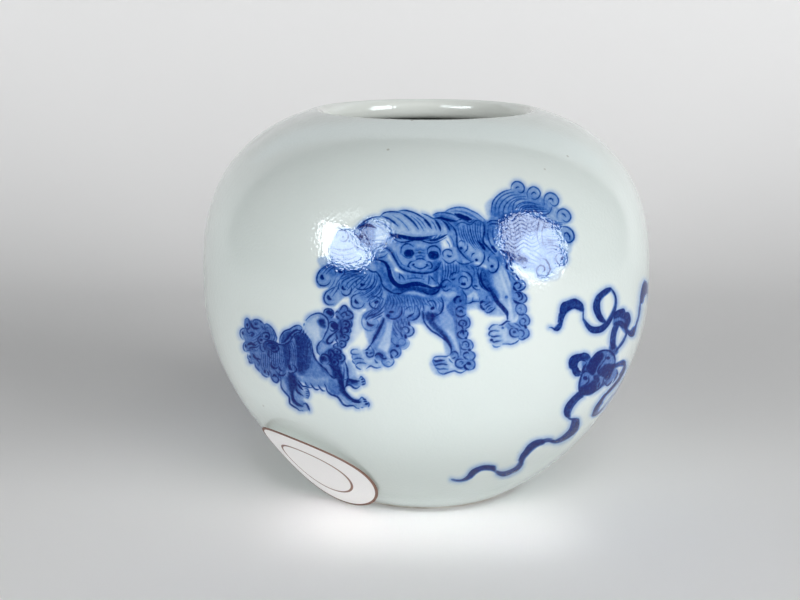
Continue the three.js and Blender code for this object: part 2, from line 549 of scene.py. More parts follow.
@dataclass(frozen=True)
class Run:
    """Stations along a profile: points of the finished surface with their normals towards the air."""

    r: np.ndarray
    z: np.ndarray
    normal_r: np.ndarray
    normal_z: np.ndarray

    @staticmethod
    def of(r: np.ndarray, z: np.ndarray, normal_r: np.ndarray, normal_z: np.ndarray) -> "Run":
        """A run with its normals made one long."""
        length = np.hypot(normal_r, normal_z)
        return Run(r, z, normal_r / length, normal_z / length)

    def parts(self) -> tuple[np.ndarray, ...]:
        """The four rows of numbers that it holds."""
        return self.r, self.z, self.normal_r, self.normal_z

    def cut(self, stations: slice) -> "Run":
        """Some of its stations."""
        return Run(*(part[stations] for part in self.parts()))

    def back(self) -> "Run":
        """The same run the other way round."""
        return self.cut(slice(None, None, -1))

    def and_then(self, other: "Run") -> "Run":
        """This run and all of another's stations."""
        return Run(*(np.concatenate(both) for both in zip(self.parts(), other.parts())))

    def then(self, other: "Run") -> "Run":
        """This run and the one that goes on from its last station."""
        return self.and_then(other.cut(slice(1, None)))

    def lengths(self) -> np.ndarray:
        """How far along the run each station lies."""
        return np.concatenate([[0], np.cumsum(np.hypot(np.diff(self.r), np.diff(self.z)))])

    def evenly(self, steps: int, first: float = 0.0, last: float | None = None) -> "Run":
        """Stations at even distances, read off this run.

        Args:
            steps: how many steps the new run has.
            first: how far along this run it begins.
            last: how far along it ends, or None for this run's end.

        Returns:
            The even run.
        """
        along = self.lengths()
        at = np.linspace(first, along[-1] if last is None else last, steps + 1)
        return Run.of(*(np.interp(at, along, part) for part in self.parts()))

    def at_depth(self, depth: "float | np.ndarray") -> np.ndarray:
        """The profile at a depth under the finished surface: r and z less depth times the normal."""
        r = np.maximum(self.r - depth * self.normal_r, 0)
        return np.stack([r, self.z - depth * self.normal_z], -1)


def superellipse_quarter(radius: float, height: float, power: float, middle: float, upward: int,
                         outward: int, end_r: float, steps: int) -> Run:
    """Stations on a quarter of a superellipse, from its widest line to the radius end_r.

    r = radius cos(t)^(2/power) and z = middle + upward height sin(t)^(2/power), with t from 0 to the
    angle whose r is end_r. The normal is the gradient of (r/radius)^power + (rise/height)^power.

    Args:
        radius: its widest radius.
        height: its half height.
        power: how square it is; 2 is an ellipse.
        middle: the height of its widest line.
        upward: 1 for the upper half and -1 for the lower one.
        outward: 1 for an outside wall and -1 for an inside one.
        end_r: the radius where it ends.
        steps: how many steps it has.

    Returns:
        The run.
    """
    angle = np.arccos((end_r / radius) ** (power / 2)) * np.linspace(0, 1, steps + 1)
    r = radius * np.maximum(np.cos(angle), 0) ** (2 / power)
    r[-1] = end_r
    rise = height * np.sin(angle) ** (2 / power)
    normal_r = (r / radius) ** (power - 1) / radius
    normal_z = (rise / height) ** (power - 1) / height
    return Run.of(r, middle + upward * rise, outward * normal_r, outward * upward * normal_z)


def round_edge(centre_r: float, centre_z: float, radius: float, start: float, end: float,
               steps: int) -> Run:
    """Stations round an edge: the centre plus radius times (cos a, sin a), with a from start to end.

    Args:
        centre_r: the radius of the edge's centre.
        centre_z: the height of the edge's centre.
        radius: how round the edge is.
        start: the first angle above the horizontal.
        end: the last angle.
        steps: how many steps it has.

    Returns:
        The run.
    """
    angle = np.linspace(start, end, steps + 1)
    cos, sin = np.cos(angle), np.sin(angle)
    return Run.of(centre_r + radius * cos, centre_z + radius * sin, cos, sin)


def half_height(radius: float, power: float, through_r: float, rise: float) -> float:
    """The half height of a superellipse that is through_r wide at this rise from its middle."""
    return rise / (1 - (through_r / radius) ** power) ** (1 / power)


@dataclass(frozen=True)
class PotForm:
    """The pot's profile. The overall sizes come from the frame, and the rest are its own."""

    belly_radius: float
    overall_height: float
    lower_middle: float
    upper_middle: float
    glaze: float
    shoulder_power: float = 2.74
    lower_power: float = 1.82
    mouth_radius: float = 19.2 * MM
    lip_round: float = 1.8 * MM
    shoulder_slope_at_lip: float = np.radians(15)
    throat_round: float = 1.4 * MM
    wall: float = 3.9 * MM
    floor: float = 4.8 * MM
    glaze_line_radius: float = 21.3 * MM
    glaze_line_height: float = 0.8 * MM
    foot_inset: float = 1.1 * MM
    foot_width: float = 2.8 * MM
    foot_bevel: float = 0.4 * MM
    recess_depth: float = 2.4 * MM
    recess_chamfer: float = 0.8 * MM
    quarter_steps: int = 900
    edge_steps: int = 60

    @staticmethod
    def from_frame() -> "PotForm":
        """Reads the belly, the height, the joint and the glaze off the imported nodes."""
        glaze_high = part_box("outer_glaze")[1]
        slip_low, slip_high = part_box("luting_slip")
        return PotForm(
            belly_radius=glaze_high[0],
            overall_height=glaze_high[2],
            lower_middle=slip_low[2],
            upper_middle=slip_high[2],
            glaze=glaze_high[0] - slip_high[0],
        )

    @property
    def lip_centre_r(self) -> float:
        """The radius of the middle of the lip."""
        return self.mouth_radius + self.lip_round

    @property
    def lip_centre_z(self) -> float:
        """The height of the middle of the lip."""
        return self.overall_height - self.lip_round

    def lip_crest(self) -> Run:
        """The lip from the shoulder to its top."""
        start = np.pi / 2 - self.shoulder_slope_at_lip
        return round_edge(self.lip_centre_r, self.lip_centre_z, self.lip_round, start, np.pi / 2,
                          self.edge_steps)

    def lower_height(self) -> float:
        """The half height of the lower outside's superellipse."""
        rise = self.lower_middle - self.glaze_line_height
        return half_height(self.belly_radius, self.lower_power, self.glaze_line_radius, rise)

    def shoulder_height(self) -> float:
        """The half height of the shoulder's superellipse."""
        crest = self.lip_crest()
        rise = crest.z[0] - self.upper_middle
        return half_height(self.belly_radius, self.shoulder_power, crest.r[0], rise)

    def lower_outside(self) -> Run:
        """The outside from the glaze line up to the belly."""
        return superellipse_quarter(self.belly_radius, self.lower_height(), self.lower_power,
                                    self.lower_middle, -1, 1, self.glaze_line_radius,
                                    self.quarter_steps).back()

    def upper_outside(self) -> Run:
        """The outside from the belly up the shoulder to the top of the lip."""
        crest = self.lip_crest()
        shoulder = superellipse_quarter(self.belly_radius, self.shoulder_height(),
                                        self.shoulder_power, self.upper_middle, 1, 1, crest.r[0],
                                        self.quarter_steps)
        return shoulder.then(crest)

    def outside(self) -> Run:
        """The whole outside, from the glaze line to the top of the lip."""
        return self.lower_outside().and_then(self.upper_outside())

    def upper_inside(self) -> Run:
        """The inside from the top of the lip, down the throat and under the shoulder to the belly."""
        inner = self.belly_radius - self.wall
        throat_r = self.mouth_radius + self.throat_round
        shoulder = superellipse_quarter(inner, self.shoulder_height() - self.wall,
                                        self.shoulder_power, self.upper_middle, 1, -1, throat_r,
                                        self.quarter_steps)
        throat = round_edge(throat_r, shoulder.z[-1] + self.throat_round, self.throat_round, np.pi,
                            1.5 * np.pi, self.edge_steps)
        lip = round_edge(self.lip_centre_r, self.lip_centre_z, self.lip_round, np.pi / 2, np.pi,
                         self.edge_steps)
        return lip.and_then(throat).then(shoulder.back())

    def lower_inside(self) -> Run:
        """The inside from the belly down to the middle of the floor."""
        height = self.lower_middle - self.recess_depth - self.floor
        return superellipse_quarter(self.belly_radius - self.wall, height, self.lower_power,
                                    self.lower_middle, -1, -1, 0.0, self.quarter_steps)

    def recess(self, depth: float) -> np.ndarray:
        """The recess under the foot at a depth under its glaze, from the axis out to the ring."""
        foot_inner = self.glaze_line_radius - self.foot_inset - self.foot_width
        wall = foot_inner - self.foot_bevel + depth
        ceiling = self.recess_depth + depth
        return np.array([[0, ceiling], [wall - self.recess_chamfer, ceiling],
                         [wall, ceiling - self.recess_chamfer], [wall, self.glaze_line_height]])


@dataclass(frozen=True)
class PhotoView:
    """The camera that the picture was taken with, fitted to the pot's outline, lip and foot."""

    width: int = 800
    height: int = 600
    focal: float = 1161.3  # pixels
    distance: float = 232 * MM
    target_height: float = 36.73 * MM
    elevation: float = np.radians(14.49)
    yaw: float = 0.0224
    pitch: float = -0.0038
    sensor: float = 36.0

    def place(self) -> np.ndarray:
        """Where the camera stands."""
        return np.array([0, -self.distance * np.cos(self.elevation),
                         self.target_height + self.distance * np.sin(self.elevation)])

    def axes(self) -> tuple[np.ndarray, np.ndarray, np.ndarray]:
        """The camera's right, up and forward directions."""
        down = self.elevation - self.pitch
        forward = np.array([-np.sin(self.yaw) * np.cos(down), np.cos(self.yaw) * np.cos(down),
                            -np.sin(down)])
        right = np.array([np.cos(self.yaw), np.sin(self.yaw), 0.0])
        return right, np.cross(right, forward), forward

    def pixels(self, points: np.ndarray) -> tuple[np.ndarray, np.ndarray]:
        """Where points fall in the picture.

        Args:
            points: x, y, z in the last axis.

        Returns:
            The columns and rows in the picture's pixels.
        """
        right, up, forward = self.axes()
        off = points - self.place()
        depth = off @ forward
        column = self.width / 2 + self.focal * (off @ right) / depth
        return column, self.height / 2 - self.focal * (off @ up) / depth

    def make_camera(self) -> None:
        """Sets the scene's camera up with this view."""
        right, up, forward = self.axes()
        data = bpy.data.cameras.new("photo_view")
        data.sensor_fit = "HORIZONTAL"
        data.sensor_width = self.sensor
        data.lens = self.focal * self.sensor / self.width
        camera = bpy.data.objects.new("photo_view", data)
        bpy.context.collection.objects.link(camera)
        turn = Matrix([right, up, -forward]).transposed().to_4x4()
        camera.matrix_world = Matrix.Translation(Vector(self.place())) @ turn
        bpy.context.scene.camera = camera


def finish_piece(piece: bpy.types.Object, slot: Slot, *nodes: str) -> None:
    """Puts a piece on the pot's one body, hides the imported nodes that it replaces and logs its faces.

    Args:
        piece: the finished piece.
        slot: not used.
        nodes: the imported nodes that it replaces.
    """
    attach(piece, BODY)
    if nodes:
        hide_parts(*nodes)
    LOG.info("%s: %d faces", piece.name, len(piece.data.polygons))


class Ends(Enum):
    """Which ends of a brush line run out thin."""

    BOTH = (True, True)
    NONE = (False, False)


def smooth_share(value: np.ndarray) -> np.ndarray:
    """Runs smoothly from 0 to 1 as value does: 3 v^2 - 2 v^3."""
    value = np.clip(value, 0, 1)
    return value * value * (3 - 2 * value)


def smooth_path(points: Points, closed: bool, spacing: float) -> np.ndarray:
    """A smooth path through points: a Catmull-Rom spline, cubic between each pair of points.

    Args:
        points: the points in order.
        closed: whether the path comes back to its first point.
        spacing: about how far apart the path's own points lie.

    Returns:
        The path's points, one a row.
    """
    knots = np.array(points, float)
    if closed:
        before, starts = np.roll(knots, 1, 0), knots
        after, beyond = np.roll(knots, -1, 0), np.roll(knots, -2, 0)
    else:
        whole = np.concatenate([2 * knots[:1] - knots[1:2], knots, 2 * knots[-1:] - knots[-2:-1]])
        before, starts, after, beyond = whole[:-3], whole[1:-2], whole[2:-1], whole[3:]
    steps = max(2, int(np.ceil(np.hypot(*(after - starts).T).max() / spacing)))
    t = (np.arange(steps) / steps)[None, :, None]
    a, b, c, d = (part[:, None, :] for part in (before, starts, after, beyond))
    path = b + 0.5 * t * (c - a + t * (2 * a - 5 * b + 4 * c - d + t * (3 * (b - c) + d - a)))
    return np.concatenate([path.reshape(-1, 2), knots[:1] if closed else knots[-1:]])


class Sheet:
    """Places on the pot as they fall in the picture, with the cobalt laid on each so far."""

    batch = 20000  # how many places are measured at a time, to spare memory

    def __init__(self, column: np.ndarray, row: np.ndarray) -> None:
        """Starts clean.

        Args:
            column: the picture column of each place.
            row: the picture row of each place.
        """
        self.column = column.ravel()
        self.row = row.ravel()
        self.line = np.zeros(self.column.shape)
        self.wash = np.zeros(self.column.shape)

    def near(self, path: np.ndarray, margin: float) -> np.ndarray:
        """The numbers of the places within a margin of a path's box."""
        low, high = path.min(0) - margin, path.max(0) + margin
        inside = (self.column > low[0]) & (self.column < high[0])
        inside &= (self.row > low[1]) & (self.row < high[1])
        return np.flatnonzero(inside)

    def gap(self, near: np.ndarray, path: np.ndarray, half_width: np.ndarray) -> np.ndarray:
        """How far places lie outside a path that has a width.

        The path is a chain of straight runs. A place's nearest point on a run is its foot on it, kept
        between the run's ends, and the half width there is read off along the run.

        Args:
            near: the numbers of the places.
            path: the path's points.
            half_width: half the path's width at each point.

        Returns:
            The distance from the edge of the nearest run, below 0 inside.
        """
        start, run = path[:-1], np.diff(path, axis=0)
        length = np.maximum((run**2).sum(-1), TINY)
        best = np.empty(near.shape)
        for first in range(0, len(near), self.batch):
            some = near[first:first + self.batch]
            x = self.column[some, None] - start[:, 0]
            y = self.row[some, None] - start[:, 1]
            t = np.clip((x * run[:, 0] + y * run[:, 1]) / length, 0, 1)
            off = np.hypot(x - t * run[:, 0], y - t * run[:, 1])
            off -= half_width[:-1] + t * np.diff(half_width)
            best[first:first + self.batch] = off.min(-1)
        return best

    def density(self) -> np.ndarray:
        """The cobalt under each place: wash and line together, never more than full."""
        return self.wash + self.line - self.wash * self.line


@dataclass(frozen=True)
class Brush:
    """One brush line, in the picture's pixels."""

    points: Points
    width: float
    tone: float
    ends: Ends = Ends.BOTH
    spacing: float = 1.2
    soft: float = 0.8
    bleed: float = 0.2
    bleed_reach: float = 3.0
    bleed_end: float = 2.5  # how many reaches away the bleed no longer shows
    thin: float = 0.35  # the width of a thin end as a share of the line's
    thin_run: float = 0.3  # how much of the line it takes to widen

    def draw(self, sheet: Sheet) -> None:
        """Lays the line: full inside its width, soft at its edge, with a faint bleed around.

        Args:
            sheet: the places to lay it on.
        """
        path = smooth_path(self.points, False, self.spacing)
        t = np.linspace(0, 1, len(path))
        share = np.ones(len(path))
        for runs_out, along in zip(self.ends.value, (t, 1 - t)):
            if runs_out:
                share *= self.thin + (1 - self.thin) * smooth_share(along / self.thin_run)
        near = sheet.near(path, self.width / 2 + self.bleed_end * self.bleed_reach)
        off = sheet.gap(near, path, share * self.width / 2)
        cover = smooth_share(0.5 - off / (2 * self.soft))
        halo = self.bleed * np.exp(-((np.maximum(off, 0) / self.bleed_reach) ** 2))
        sheet.line[near] = np.maximum(sheet.line[near], self.tone * np.maximum(cover, halo))


@dataclass(frozen=True)
class Pool:
    """One pool of thin cobalt inside a closed outline, in the picture's pixels."""

    points: Points
    tone: float
    soft: float
    spacing: float = 2.5
    margin: float = 3.0  # how many widths of the soft edge are looked at beyond the outline

    def draw(self, sheet: Sheet) -> None:
        """Lays the pool: full inside the outline and fading over its soft edge.

        A place is inside where a level line from it crosses the outline an odd number of times.

        Args:
            sheet: the places to lay it on.
        """
        path = smooth_path(self.points, True, self.spacing)
        near = sheet.near(path, self.margin * self.soft)
        edge = sheet.gap(near, path, np.zeros(len(path)))
        x, y = sheet.column[near, None], sheet.row[near, None]
        (x0, y0), (x1, y1) = path[:-1].T, path[1:].T
        rise = np.where(y1 == y0, 1, y1 - y0)
        hits = ((y0 > y) != (y1 > y)) & (x < x0 + (y - y0) * (x1 - x0) / rise)
        off = np.where(hits.sum(-1) % 2 == 1, -edge, edge)
        laid = self.tone * smooth_share(0.5 - off / (2 * self.soft))
        sheet.wash[near] = 1 - (1 - sheet.wash[near]) * (1 - laid)


@dataclass(frozen=True)
class Hairs:
    """Fine brush lines that fill the space between two border lines, in the picture's pixels."""

    first: Points
    last: Points
    count: int
    width: float
    tone: float
    shades: tuple[float, ...] = (0.85, 1.0, 1.15, 0.925, 1.075)  # the tone's shares, line by line

    def draw(self, sheet: Sheet) -> None:
        """Lays the lines: each is a share of the way from the first border to the last.

        Args:
            sheet: the places to lay them on.
        """
        first, last = np.array(self.first, float), np.array(self.last, float)
        for i, share in enumerate(np.linspace(0, 1, self.count)):
            tone = self.tone * self.shades[i % len(self.shades)]
            Brush(tuple(first + (last - first) * share), self.width, tone).draw(sheet)


Marks = tuple[Brush | Pool | Hairs, ...]


def pairs(numbers: tuple[float, ...]) -> Points:
    """Columns and rows that follow each other, as points."""
    return tuple(zip(numbers[0::2], numbers[1::2]))


def line(width: float, tone: float, *numbers: float) -> Brush:
    """A brush line that runs out thin at both ends, through these columns and rows."""
    return Brush(pairs(numbers), width, tone)


def bold(width: float, tone: float, *numbers: float) -> Brush:
    """A brush line with full ends, through these columns and rows."""
    return Brush(pairs(numbers), width, tone, Ends.NONE)


def dot(tone: float, width: float, column: float, row: float) -> Brush:
    """A round dot: a line hardly longer than nothing."""
    half = 0.2
    return bold(width, tone, column - half, row, column + half, row)


def pool(tone: float, soft: float, *numbers: float) -> Pool:
    """A pool of thin cobalt inside these columns and rows."""
    return Pool(pairs(numbers), tone, soft)


@dataclass(frozen=True)
class Motif:
    """One painted figure, its brush marks placed where they show in the picture."""

    def marks(self) -> Marks:
        """All of the figure's marks."""
        groups = (getattr(self, part.name) for part in fields(self))
        return tuple(mark for group in groups for mark in group)


@dataclass(frozen=True)
class LargeLion(Motif):
    """The big lion: it bares its teeth and wades towards the small one, tail raised."""

    crown: Marks = (
        pool(0.19, 1.2, 354,231, 360,225, 366,221, 380,216.5, 390,212, 403,210.5, 416,213.5, 432,218,
            441,222, 446,232, 440,238, 425,237, 410,236, 396,232, 388,234, 376,237, 366,240, 357,238),
        line(1.5, 0.88, 354,230.5, 360,225, 366,220.5, 373,217.5, 380.5,216.5),
        line(1.5, 0.88, 380,216.5, 384,213, 390,211.7, 397,212, 401,213),
        line(1.5, 0.88, 399,211, 404,210.3, 410,211.3, 416,213.5, 421,216.5, 424,219),
        line(1.4, 0.84, 422,213.5, 427,215.3, 432,217.8, 437,220.5),
        line(3, 0.98, 358,228.5, 364,225.5, 370,225.5, 376,228),
        line(2.2, 0.8, 382,216, 388,218.5, 393,221.5, 398,226),
        line(2.2, 0.8, 401,213, 406,216, 411,220, 415,224, 418.5,229),
        line(2.6, 0.86, 423,217.5, 426,221, 429,224.5, 431.5,228.5),
        line(2.6, 0.98, 435,220, 437.5,223.5, 439.5,227, 440.6,231),
        line(1.3, 0.63, 376,221, 382,223, 388,227, 392,231),
        line(1.2, 0.58, 372,224, 379,226.5, 385,231),
        line(1.2, 0.5, 393,215.5, 400,220, 406,226, 409,230.5),
        line(1.2, 0.63, 411,216, 417,221, 421,226, 424,231),
        line(1.1, 0.52, 414,215.5, 421,221, 426,228),
        line(1.2, 0.58, 431,220.5, 434.5,225, 436.5,230),
        line(1.3, 0.73, 353,231, 357,236, 360,239, 360,243),
        dot(0.88, 4.2, 361,236.5),
        pool(0.3, 2.4, 434,215, 446,214, 458,222, 458,229, 450,229, 444,226, 438,222),
        pool(0.44, 2, 359,226, 366,221, 373,226, 375,240, 368,247, 361,241),
        line(1.8, 0.62, 363,231, 367,238, 370,244),
        pool(0.3, 1.6, 370,245, 377,245, 377,252, 370,252),
    )
    right_lobes: Marks = (
        pool(0.24, 1.2, 433,215, 441,212.5, 449,209, 460,207, 472,211, 485,220, 484,226, 470,224, 458,219,
            450,222, 441,220),
        line(1.3, 0.78, 433,215.2, 436,213.3, 441,212.6, 447,213, 453,214.5, 457,217),
        line(2.6, 0.98, 434,218.3, 440,218, 446,219.5, 452,220.8, 457,221),
        line(2, 0.84, 441,219.5, 446,224, 449,228.5, 450,231),
        line(1.3, 0.68, 445,212, 449,209.3, 454,207.8, 460,207.2, 466,208.3, 472,211, 477,213.5, 481,216.5,
            485,220),
        line(4.6, 0.98, 455,214, 460,216, 466,218.2, 471,219.5),
        line(1.2, 0.52, 451,211.5, 457,211, 464,212.5, 471,216, 477,219),
        line(1.2, 0.52, 461,210.5, 468,213, 474,216.5, 480,220.5),
    )
    face: Marks = (
        pool(0.29, 1.8, 392,232, 405,236, 425,238, 437,238, 441,246, 441,262, 436,272, 424,276, 408,275,
            396,266, 388,252, 378,249, 384,240),
        pool(0.1, 1.5, 370,238, 384,233, 392,233, 399,241, 396,247, 386,246, 374,249, 366,248),
        line(1.5, 0.84, 390,235, 394,239, 400,242, 407,241.8, 413,240.3, 419,239.8, 424,241.5, 430,243,
            436,242.5, 441,240.3, 446,237.5),
        line(4, 0.98, 395,234, 404,237, 412,238.5, 420,238.8, 430,238),
        line(3, 0.93, 390,234, 396,236.5, 401,238.5),
        line(2.6, 0.87, 426,240, 434,240, 441,237.5, 447,234.5),
        line(1.2, 0.73, 391,233.5, 395,238),
        line(1.2, 0.73, 394.5,233.5, 398.5,238.5),
        line(1.2, 0.73, 398,234.5, 401.5,239.5),
        line(1.3, 0.73, 428,241, 433,236),
        line(1.3, 0.73, 432,241, 437,235.5),
        line(1.3, 0.73, 436,240.5, 441,234.5),
        line(1.2, 0.63, 440,239.5, 445,234.5),
        line(1, 0.47, 372,241, 379,240, 386,241),
        line(1, 0.47, 371,245, 379,243.5, 388,244.5),
        line(1.5, 0.84, 400.8,253, 401.5,247.5, 405,244.2, 409,244, 413.5,246.5),
        bold(7.6, 0.86, 407.6,253.2, 410.4,253.2),
        dot(0.98, 5, 409,252.9),
        line(1.3, 0.63, 402,254.5, 406,257.5, 411,257.5, 414,254),
        line(1.5, 0.84, 427.3,254, 428,248.5, 432,246, 436.5,246.5, 440,250, 440.3,254.5),
        bold(7.8, 0.86, 431.8,255, 435.2,255),
        dot(0.98, 5, 433.7,254.8),
        line(1.3, 0.63, 427.6,255, 430,258.5, 434,259.3, 438.5,257.5, 440,254.5),
        pool(0.2, 1, 415,249, 425,249, 425,259, 416,259),
        line(1, 0.58, 416,250.5, 420,249.8, 424,250.5),
        line(1, 0.58, 415.5,253.3, 420,252.6, 424.5,253.3),
        line(1, 0.58, 415.5,256.4, 420,255.6, 424.5,256.4),
        line(1.4, 0.78, 415,260.5, 418,259, 422,258.8, 426,260.5),
        line(1.5, 0.84, 415,261, 411,261.8, 409,264, 408,266.5, 411,268.3),
        line(1.5, 0.84, 426,262, 430,262, 432,265, 431.5,268, 428,269),
        line(1.6, 0.84, 412,265.2, 416,267.5, 420,268.8, 424,267.8, 427,266, 429,265.8),
        dot(0.94, 2, 408.3,266.3),
        dot(0.88, 2, 413.5,264.5),
        dot(0.88, 2, 427,264.8),
        pool(0.2, 1, 385,250, 391,254, 397,264, 404,271, 418,274, 430,273.5, 437,270, 441,262, 437,264,
            431,270, 420,270.5, 408,268.5, 400,262, 394,252, 390,247),
        line(2, 0.88, 384,248, 388,249, 391,252, 394,257, 397,262.5, 400,267, 404,270, 410,271.8, 418,273,
            424,273.3, 430,272.5, 435,270.5, 439,267, 441,262),
        line(1.3, 0.63, 374,258, 379,258, 384,256.5, 388,253),
        line(1.2, 0.52, 376,253, 381,252.5, 386,251.5),
        line(1.2, 0.52, 396,252, 398,258, 402,264, 407,267),
        line(4.6, 0.98, 376,259.5, 383,261.5, 387.5,266, 389.3,272, 390.8,277.5, 394,282.5, 399,286,
            405,286, 412,284.3, 419,284, 426,286, 432,287.8, 437,287),
        line(2, 0.88, 437,281, 439.5,286, 438.5,290.5, 435,293.5, 430,294.3, 426,293.3, 422,290.8),
        line(1.8, 0.84, 381.5,282, 384,287, 389,291, 394,293.3, 400,293.5, 405,291.5),
        pool(0.36, 1.4, 393,270, 400,273, 418,275, 431,275, 438,272, 437,284, 430,285, 418,282, 405,284,
            398,283, 394,277),
        line(1.4, 0.78, 399.5,273.5, 399.5,277, 400,280),
        line(1.4, 0.78, 400,274, 403,277, 405,280),
        line(1.4, 0.78, 429,274.5, 429,279, 428.5,284),
        line(1.4, 0.78, 430,275.5, 433,279, 436,282),
        line(1.4, 0.68, 407,279, 412,278.2, 418,278, 424,279.3),
        line(1.2, 0.52, 408,275, 408,278.5),
        line(1.2, 0.52, 415,275, 415,278),
        line(1.2, 0.52, 422,275, 422,278.5),
        pool(0.38, 1.2, 398,287, 412,286, 426,288, 436,289, 433,293, 424,292, 412,290, 400,292, 392,291),
        pool(0.34, 2, 434,261, 440,262, 443,275, 442,287, 438,289, 434,278),
        line(3, 0.84, 430,287.5, 435,288.5, 439.5,287, 440.5,283),
        pool(0.3, 2, 373,254, 384,255, 391,260, 395,268, 389,271, 381,265, 373,262),
        pool(0.42, 1.5, 400,288, 415,286, 430,289, 438,289, 437,294, 428,294.5, 414,291.5, 402,292),
        pool(0.26, 1.8, 381,262, 387,262, 391,272, 396,283, 402,288, 415,285.5, 428,288, 437,290, 439,284,
            442,290, 436,296, 428,296, 412,291, 400,294, 391,290, 385,280, 380,270),
        pool(0.2, 2, 374,262, 383,265, 386,272, 389,281, 396,287, 412,288, 430,291, 437,290, 446,298,
            440,300, 420,299, 400,297, 388,294, 381,283, 377,272),
        pool(0.17, 1.6, 372,250, 384,251, 388,256, 384,259, 374,259),
        pool(0.22, 2, 440,284, 452,284, 462,290, 464,298, 456,303, 448,306, 443,300),
        line(1.8, 0.85, 397,234.5, 406,237, 416,237.6, 427,237, 437,235),
        pool(0.12, 1.5, 372,243, 384,243, 392,250, 394,258, 386,256, 376,250),
        pool(0.1, 1, 402,242, 414,241, 416,249, 402,252),
        pool(0.1, 1, 427,243, 442,242, 443,252, 428,252),
    )
    ear: Marks = (
        pool(0.24, 1.5, 441,252, 450,248, 457,243, 459,254, 462,262, 461,285, 442,284, 441,262),
        line(1.8, 0.84, 447,221.5, 452,226, 455.5,231, 456.8,237, 457,243, 458,248, 461,252.5, 466,258,
            471,261.5),
        line(1.4, 0.78, 443.5,256.5, 442.8,253, 444.5,250.3, 448,249.3, 451.5,250.8, 452.6,254),
        line(1.8, 0.88, 447,255, 449,256.5, 451.5,256),
        line(1.4, 0.78, 442.5,258.5, 445,261, 448,263.3, 451,263, 454,261.3, 456,260),
        line(1.4, 0.78, 456,260.5, 459,263, 463,264, 468,263.5, 474,261),
        Hairs(((442,262),(443,272),(441.5,284)), ((459,264),(459,271),(457,273)), 7, 1.1, 0.72),
        line(1.2, 0.58, 446,240, 449,244, 450,248),
        line(1.2, 0.52, 450,236, 453,241, 454,247),
        pool(0.34, 1.6, 446,222, 451,225, 455,230, 457,240, 458,246, 453,246, 449,238, 446,230),
    )
    mane_right: Marks = (
        pool(0.21, 1.5, 452,222, 466,219, 482,221, 485,232, 485,243, 495,254, 500,262, 498,272, 488,274,
            486,266, 478,262, 470,262, 461,253, 457,243, 456,232),
        line(1.3, 0.68, 455,221.5, 459,219.8, 463,219.3, 467,221, 470,222.5, 474,219.5),
        line(1.3, 0.68, 455.5,226, 459,223.2, 463,222.3, 467,224, 471,224.5, 475,221, 479,220.5, 483,222.5),
        pool(0.3, 2.4, 457,247, 464,250, 474,262, 480,276, 486,291, 495,300, 488,304, 478,295, 470,278,
            460,263),
        pool(0.18, 3, 456,222, 484,223, 488,240, 480,244, 462,240),
        pool(0.22, 2.6, 446,298, 474,299, 490,301, 504,314, 492,316, 478,309, 456,313, 446,306),
        pool(0.4, 2.2, 482,268, 491,272, 495,285, 500,297, 493,298, 486,288, 482,278),
        bold(3.4, 0.86, 492.5,247, 495.5,251),
        Hairs(((464,225),(466,233),(470,243),(476,250)), ((481,222),(480,230),(481,238),(484,246)), 7, 1.1,
            0.74),
        Hairs(((458,228),(460,236),(463,243)), ((463,226),(464,234),(468,243)), 3, 1.1, 0.66),
        line(2, 0.88, 483,222, 484.5,228, 484,234, 483,239, 484,243, 488,247.5, 491,250.5, 495,254.5),
        line(3, 0.98, 479,242, 483,247, 485,250),
        line(1.4, 0.78, 487,223, 490,221, 494,220.5, 498,221, 501,223.5),
        line(1.4, 0.78, 488,226, 491,224, 496,223.8, 500,224.8),
        pool(0.26, 1.5, 484,222, 498,224, 499,234, 497,246, 490,247, 485,240),
        line(1.4, 0.73, 488,229, 488,236, 490,243, 494,249),
        line(1.3, 0.63, 493,227, 493,236, 495,244),
        line(1.4, 0.84, 450.5,280, 450,276.5, 452,273.5, 455,272.5, 458.5,273.5),
        line(2, 0.88, 451.5,278.5, 453,279.8, 455,278.5),
        line(1.6, 0.84, 444,290, 441.5,287, 441.5,283.5, 444,280.5, 447.5,280, 450.5,282),
        line(2, 0.88, 442.5,286.5, 444.5,287, 446,285.5),
        line(1.4, 0.78, 442,290, 446,291, 450,289),
        line(1.4, 0.84, 459.5,283, 458.8,279.5, 461,276.8, 464,276.5, 467,278, 467.5,281),
        bold(3, 0.98, 462.5,284, 464.5,284),
        line(1.7, 0.85, 462,271, 467,272.5, 471,276, 472,281, 471,285.5, 467.5,288.3, 463,288.5, 459,286.5),
        line(1.3, 0.63, 458,243, 461,240.5, 464.5,242, 465,246),
        dot(0.94, 3, 461,248.3),
        line(1.5, 0.78, 467,244, 467.5,249, 464,252.5),
        line(1.5, 0.84, 471.5,256.5, 472.5,254, 475,253),
        dot(0.97, 2.8, 476.5,260),
        line(1.7, 0.85, 484,252, 484.5,257, 483,262, 479,266, 474,266.5),
        line(1.5, 0.81, 489,262, 488,258.5, 490,256),
        dot(0.97, 3, 492,266.3),
        line(1.7, 0.85, 497,258, 498.5,263, 498,268, 495,272, 491,272.5, 488.5,270.5),
        line(1.5, 0.78, 472,278, 471.8,283, 473,287, 476,289.5, 479.5,289.5),
        line(1.8, 0.84, 474,285.5, 477.5,286.5),
        pool(0.26, 1.2, 446,266, 458,264, 474,264, 480,268, 474,290, 464,296, 455,292, 443,291, 441,280),
        line(1.2, 0.63, 470,265, 474,270, 474,277),
        line(1.2, 0.63, 465,265, 469,269),
        line(1.2, 0.58, 476,267, 478,273),
        pool(0.28, 2, 478,240, 486,244, 498,250, 501,256, 497,262, 488,256, 480,250),
        pool(0.26, 1.5, 483,222, 491,222, 492,236, 486,240),
        pool(0.14, 2, 428,264, 441,262, 442,275, 430,276),
    )
